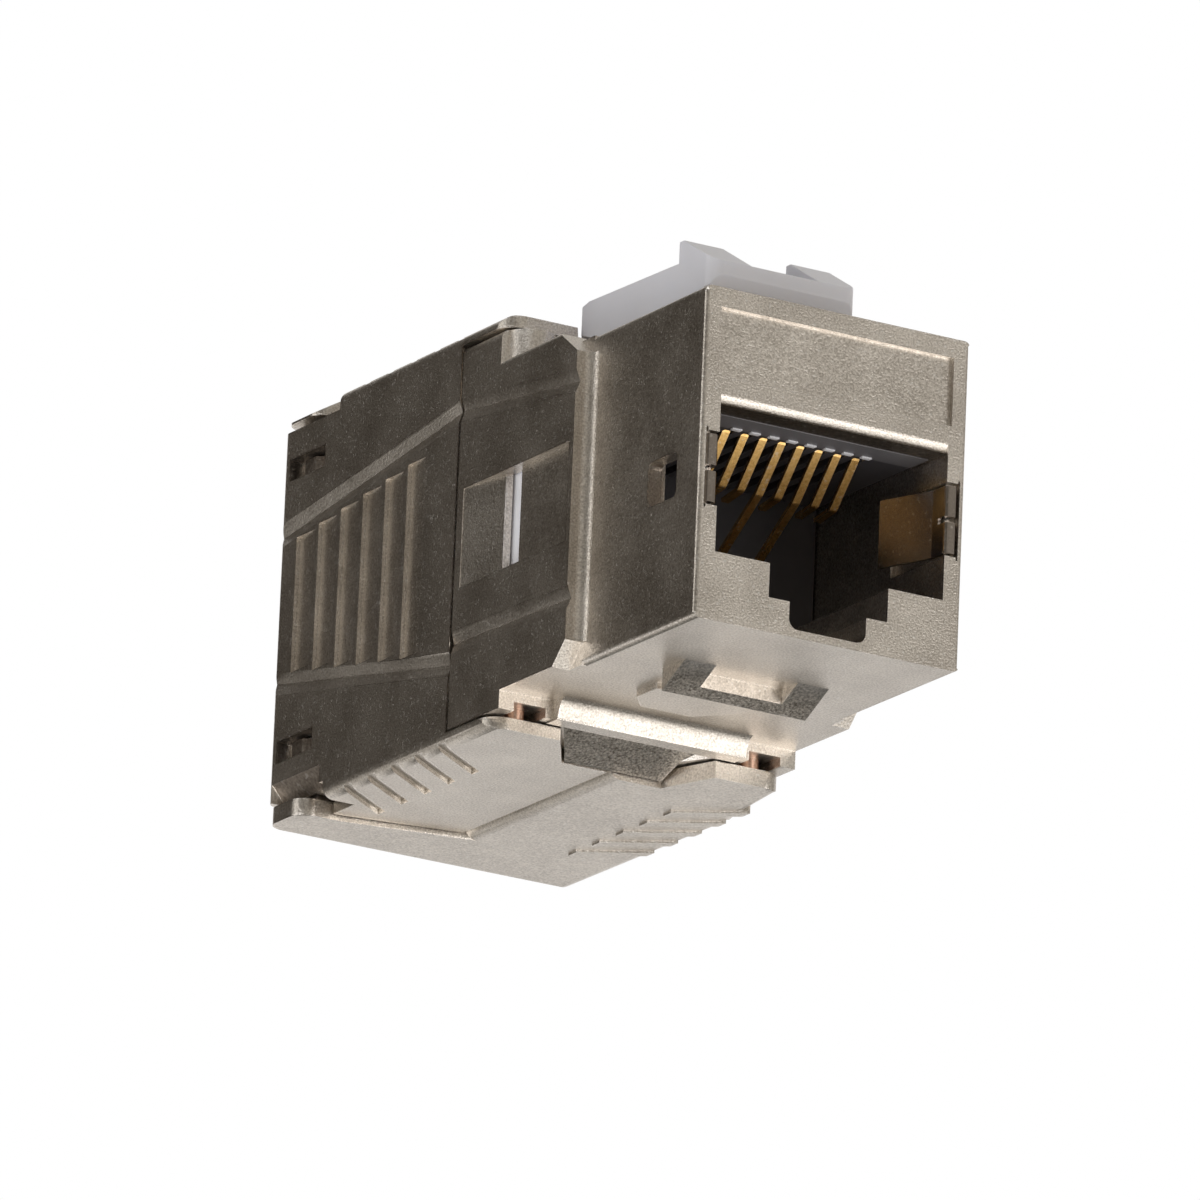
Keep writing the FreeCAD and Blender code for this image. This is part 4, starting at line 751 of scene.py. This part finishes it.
for label, (aim, start, full, light) in PATCHES.items():
    facing = add_node(tree, "ShaderNodeVectorMath", operation="DOT_PRODUCT", label=label)
    facing.inputs[1].default_value = Vector(aim).normalized()
    link(direction.outputs["Generated"], facing.inputs[0])
    share = add_node(tree, "ShaderNodeMapRange", {"From Min": start, "From Max": full},
                     interpolation_type="SMOOTHSTEP")
    link(facing.outputs["Value"], share.inputs["Value"])
    patch = add_node(tree, "ShaderNodeMix", data_type="RGBA")
    link(share.outputs["Result"], patch.inputs["Factor"])
    patch.inputs["A"].default_value = (*ROOM, 1)
    patch.inputs["B"].default_value = (*light, 1)
    if light_now is not None:
        link(light_now, patch.inputs["A"])
    light_now = patch.outputs["Result"]
path = add_node(tree, "ShaderNodeLightPath")
seen = add_node(tree, "ShaderNodeMix", data_type="RGBA")
link(path.outputs["Is Camera Ray"], seen.inputs["Factor"])
link(light_now, seen.inputs["A"])
seen.inputs["B"].default_value = (1, 1, 1, 1)
glow = add_node(tree, "ShaderNodeBackground")
link(seen.outputs["Result"], glow.inputs["Color"])
output = add_node(tree, "ShaderNodeOutputWorld")
link(glow.outputs["Background"], output.inputs["Surface"])

# %% [markdown]
# A sheet of paper lies just under the jack. Only a camera that looks from above sees it, so it
# neither hides the jack from below nor changes its light.

# %% Floor
FLOOR_SIZE = 1.6
FLOOR_GAP = 0.15 * MM
MIDDLE = Vector((0, 18, 0)) * MM
bpy.ops.mesh.primitive_plane_add(size=FLOOR_SIZE,
                                 location=(0, MIDDLE.y, cad_box[0].z - FLOOR_GAP))
floor = bpy.context.object
floor.name = "floor"
bpy.ops.object.transform_apply()
paper = bpy.data.materials.new("paper")
paper.use_nodes = True
tree = paper.node_tree
tree.nodes.clear()
link = tree.links.new
diffuse = add_node(tree, "ShaderNodeBsdfDiffuse")
diffuse.inputs["Color"].default_value = (0.9, 0.9, 0.9, 1)
clear = add_node(tree, "ShaderNodeBsdfTransparent")
side = add_node(tree, "ShaderNodeNewGeometry")
path = add_node(tree, "ShaderNodeLightPath")
front = add_node(tree, "ShaderNodeMath", operation="SUBTRACT", use_clamp=True)
link(path.outputs["Is Camera Ray"], front.inputs[0])
link(side.outputs["Backfacing"], front.inputs[1])
mix = add_node(tree, "ShaderNodeMixShader")
link(front.outputs[0], mix.inputs["Fac"])
link(clear.outputs[0], mix.inputs[1])
link(diffuse.outputs[0], mix.inputs[2])
output = add_node(tree, "ShaderNodeOutputMaterial")
link(mix.outputs[0], output.inputs["Surface"])
floor.data.materials.append(paper)

# %% Lamp
bpy.ops.object.light_add(type="AREA", location=Vector((60, 40, 420)) * MM)
lamp = bpy.context.object
lamp.name = "overhead"
lamp.data.size = 260 * MM
lamp.data.energy = 0.2
lamp.rotation_mode = "QUATERNION"
lamp.rotation_quaternion = (MIDDLE - lamp.location).to_track_quat("-Z", "Y")
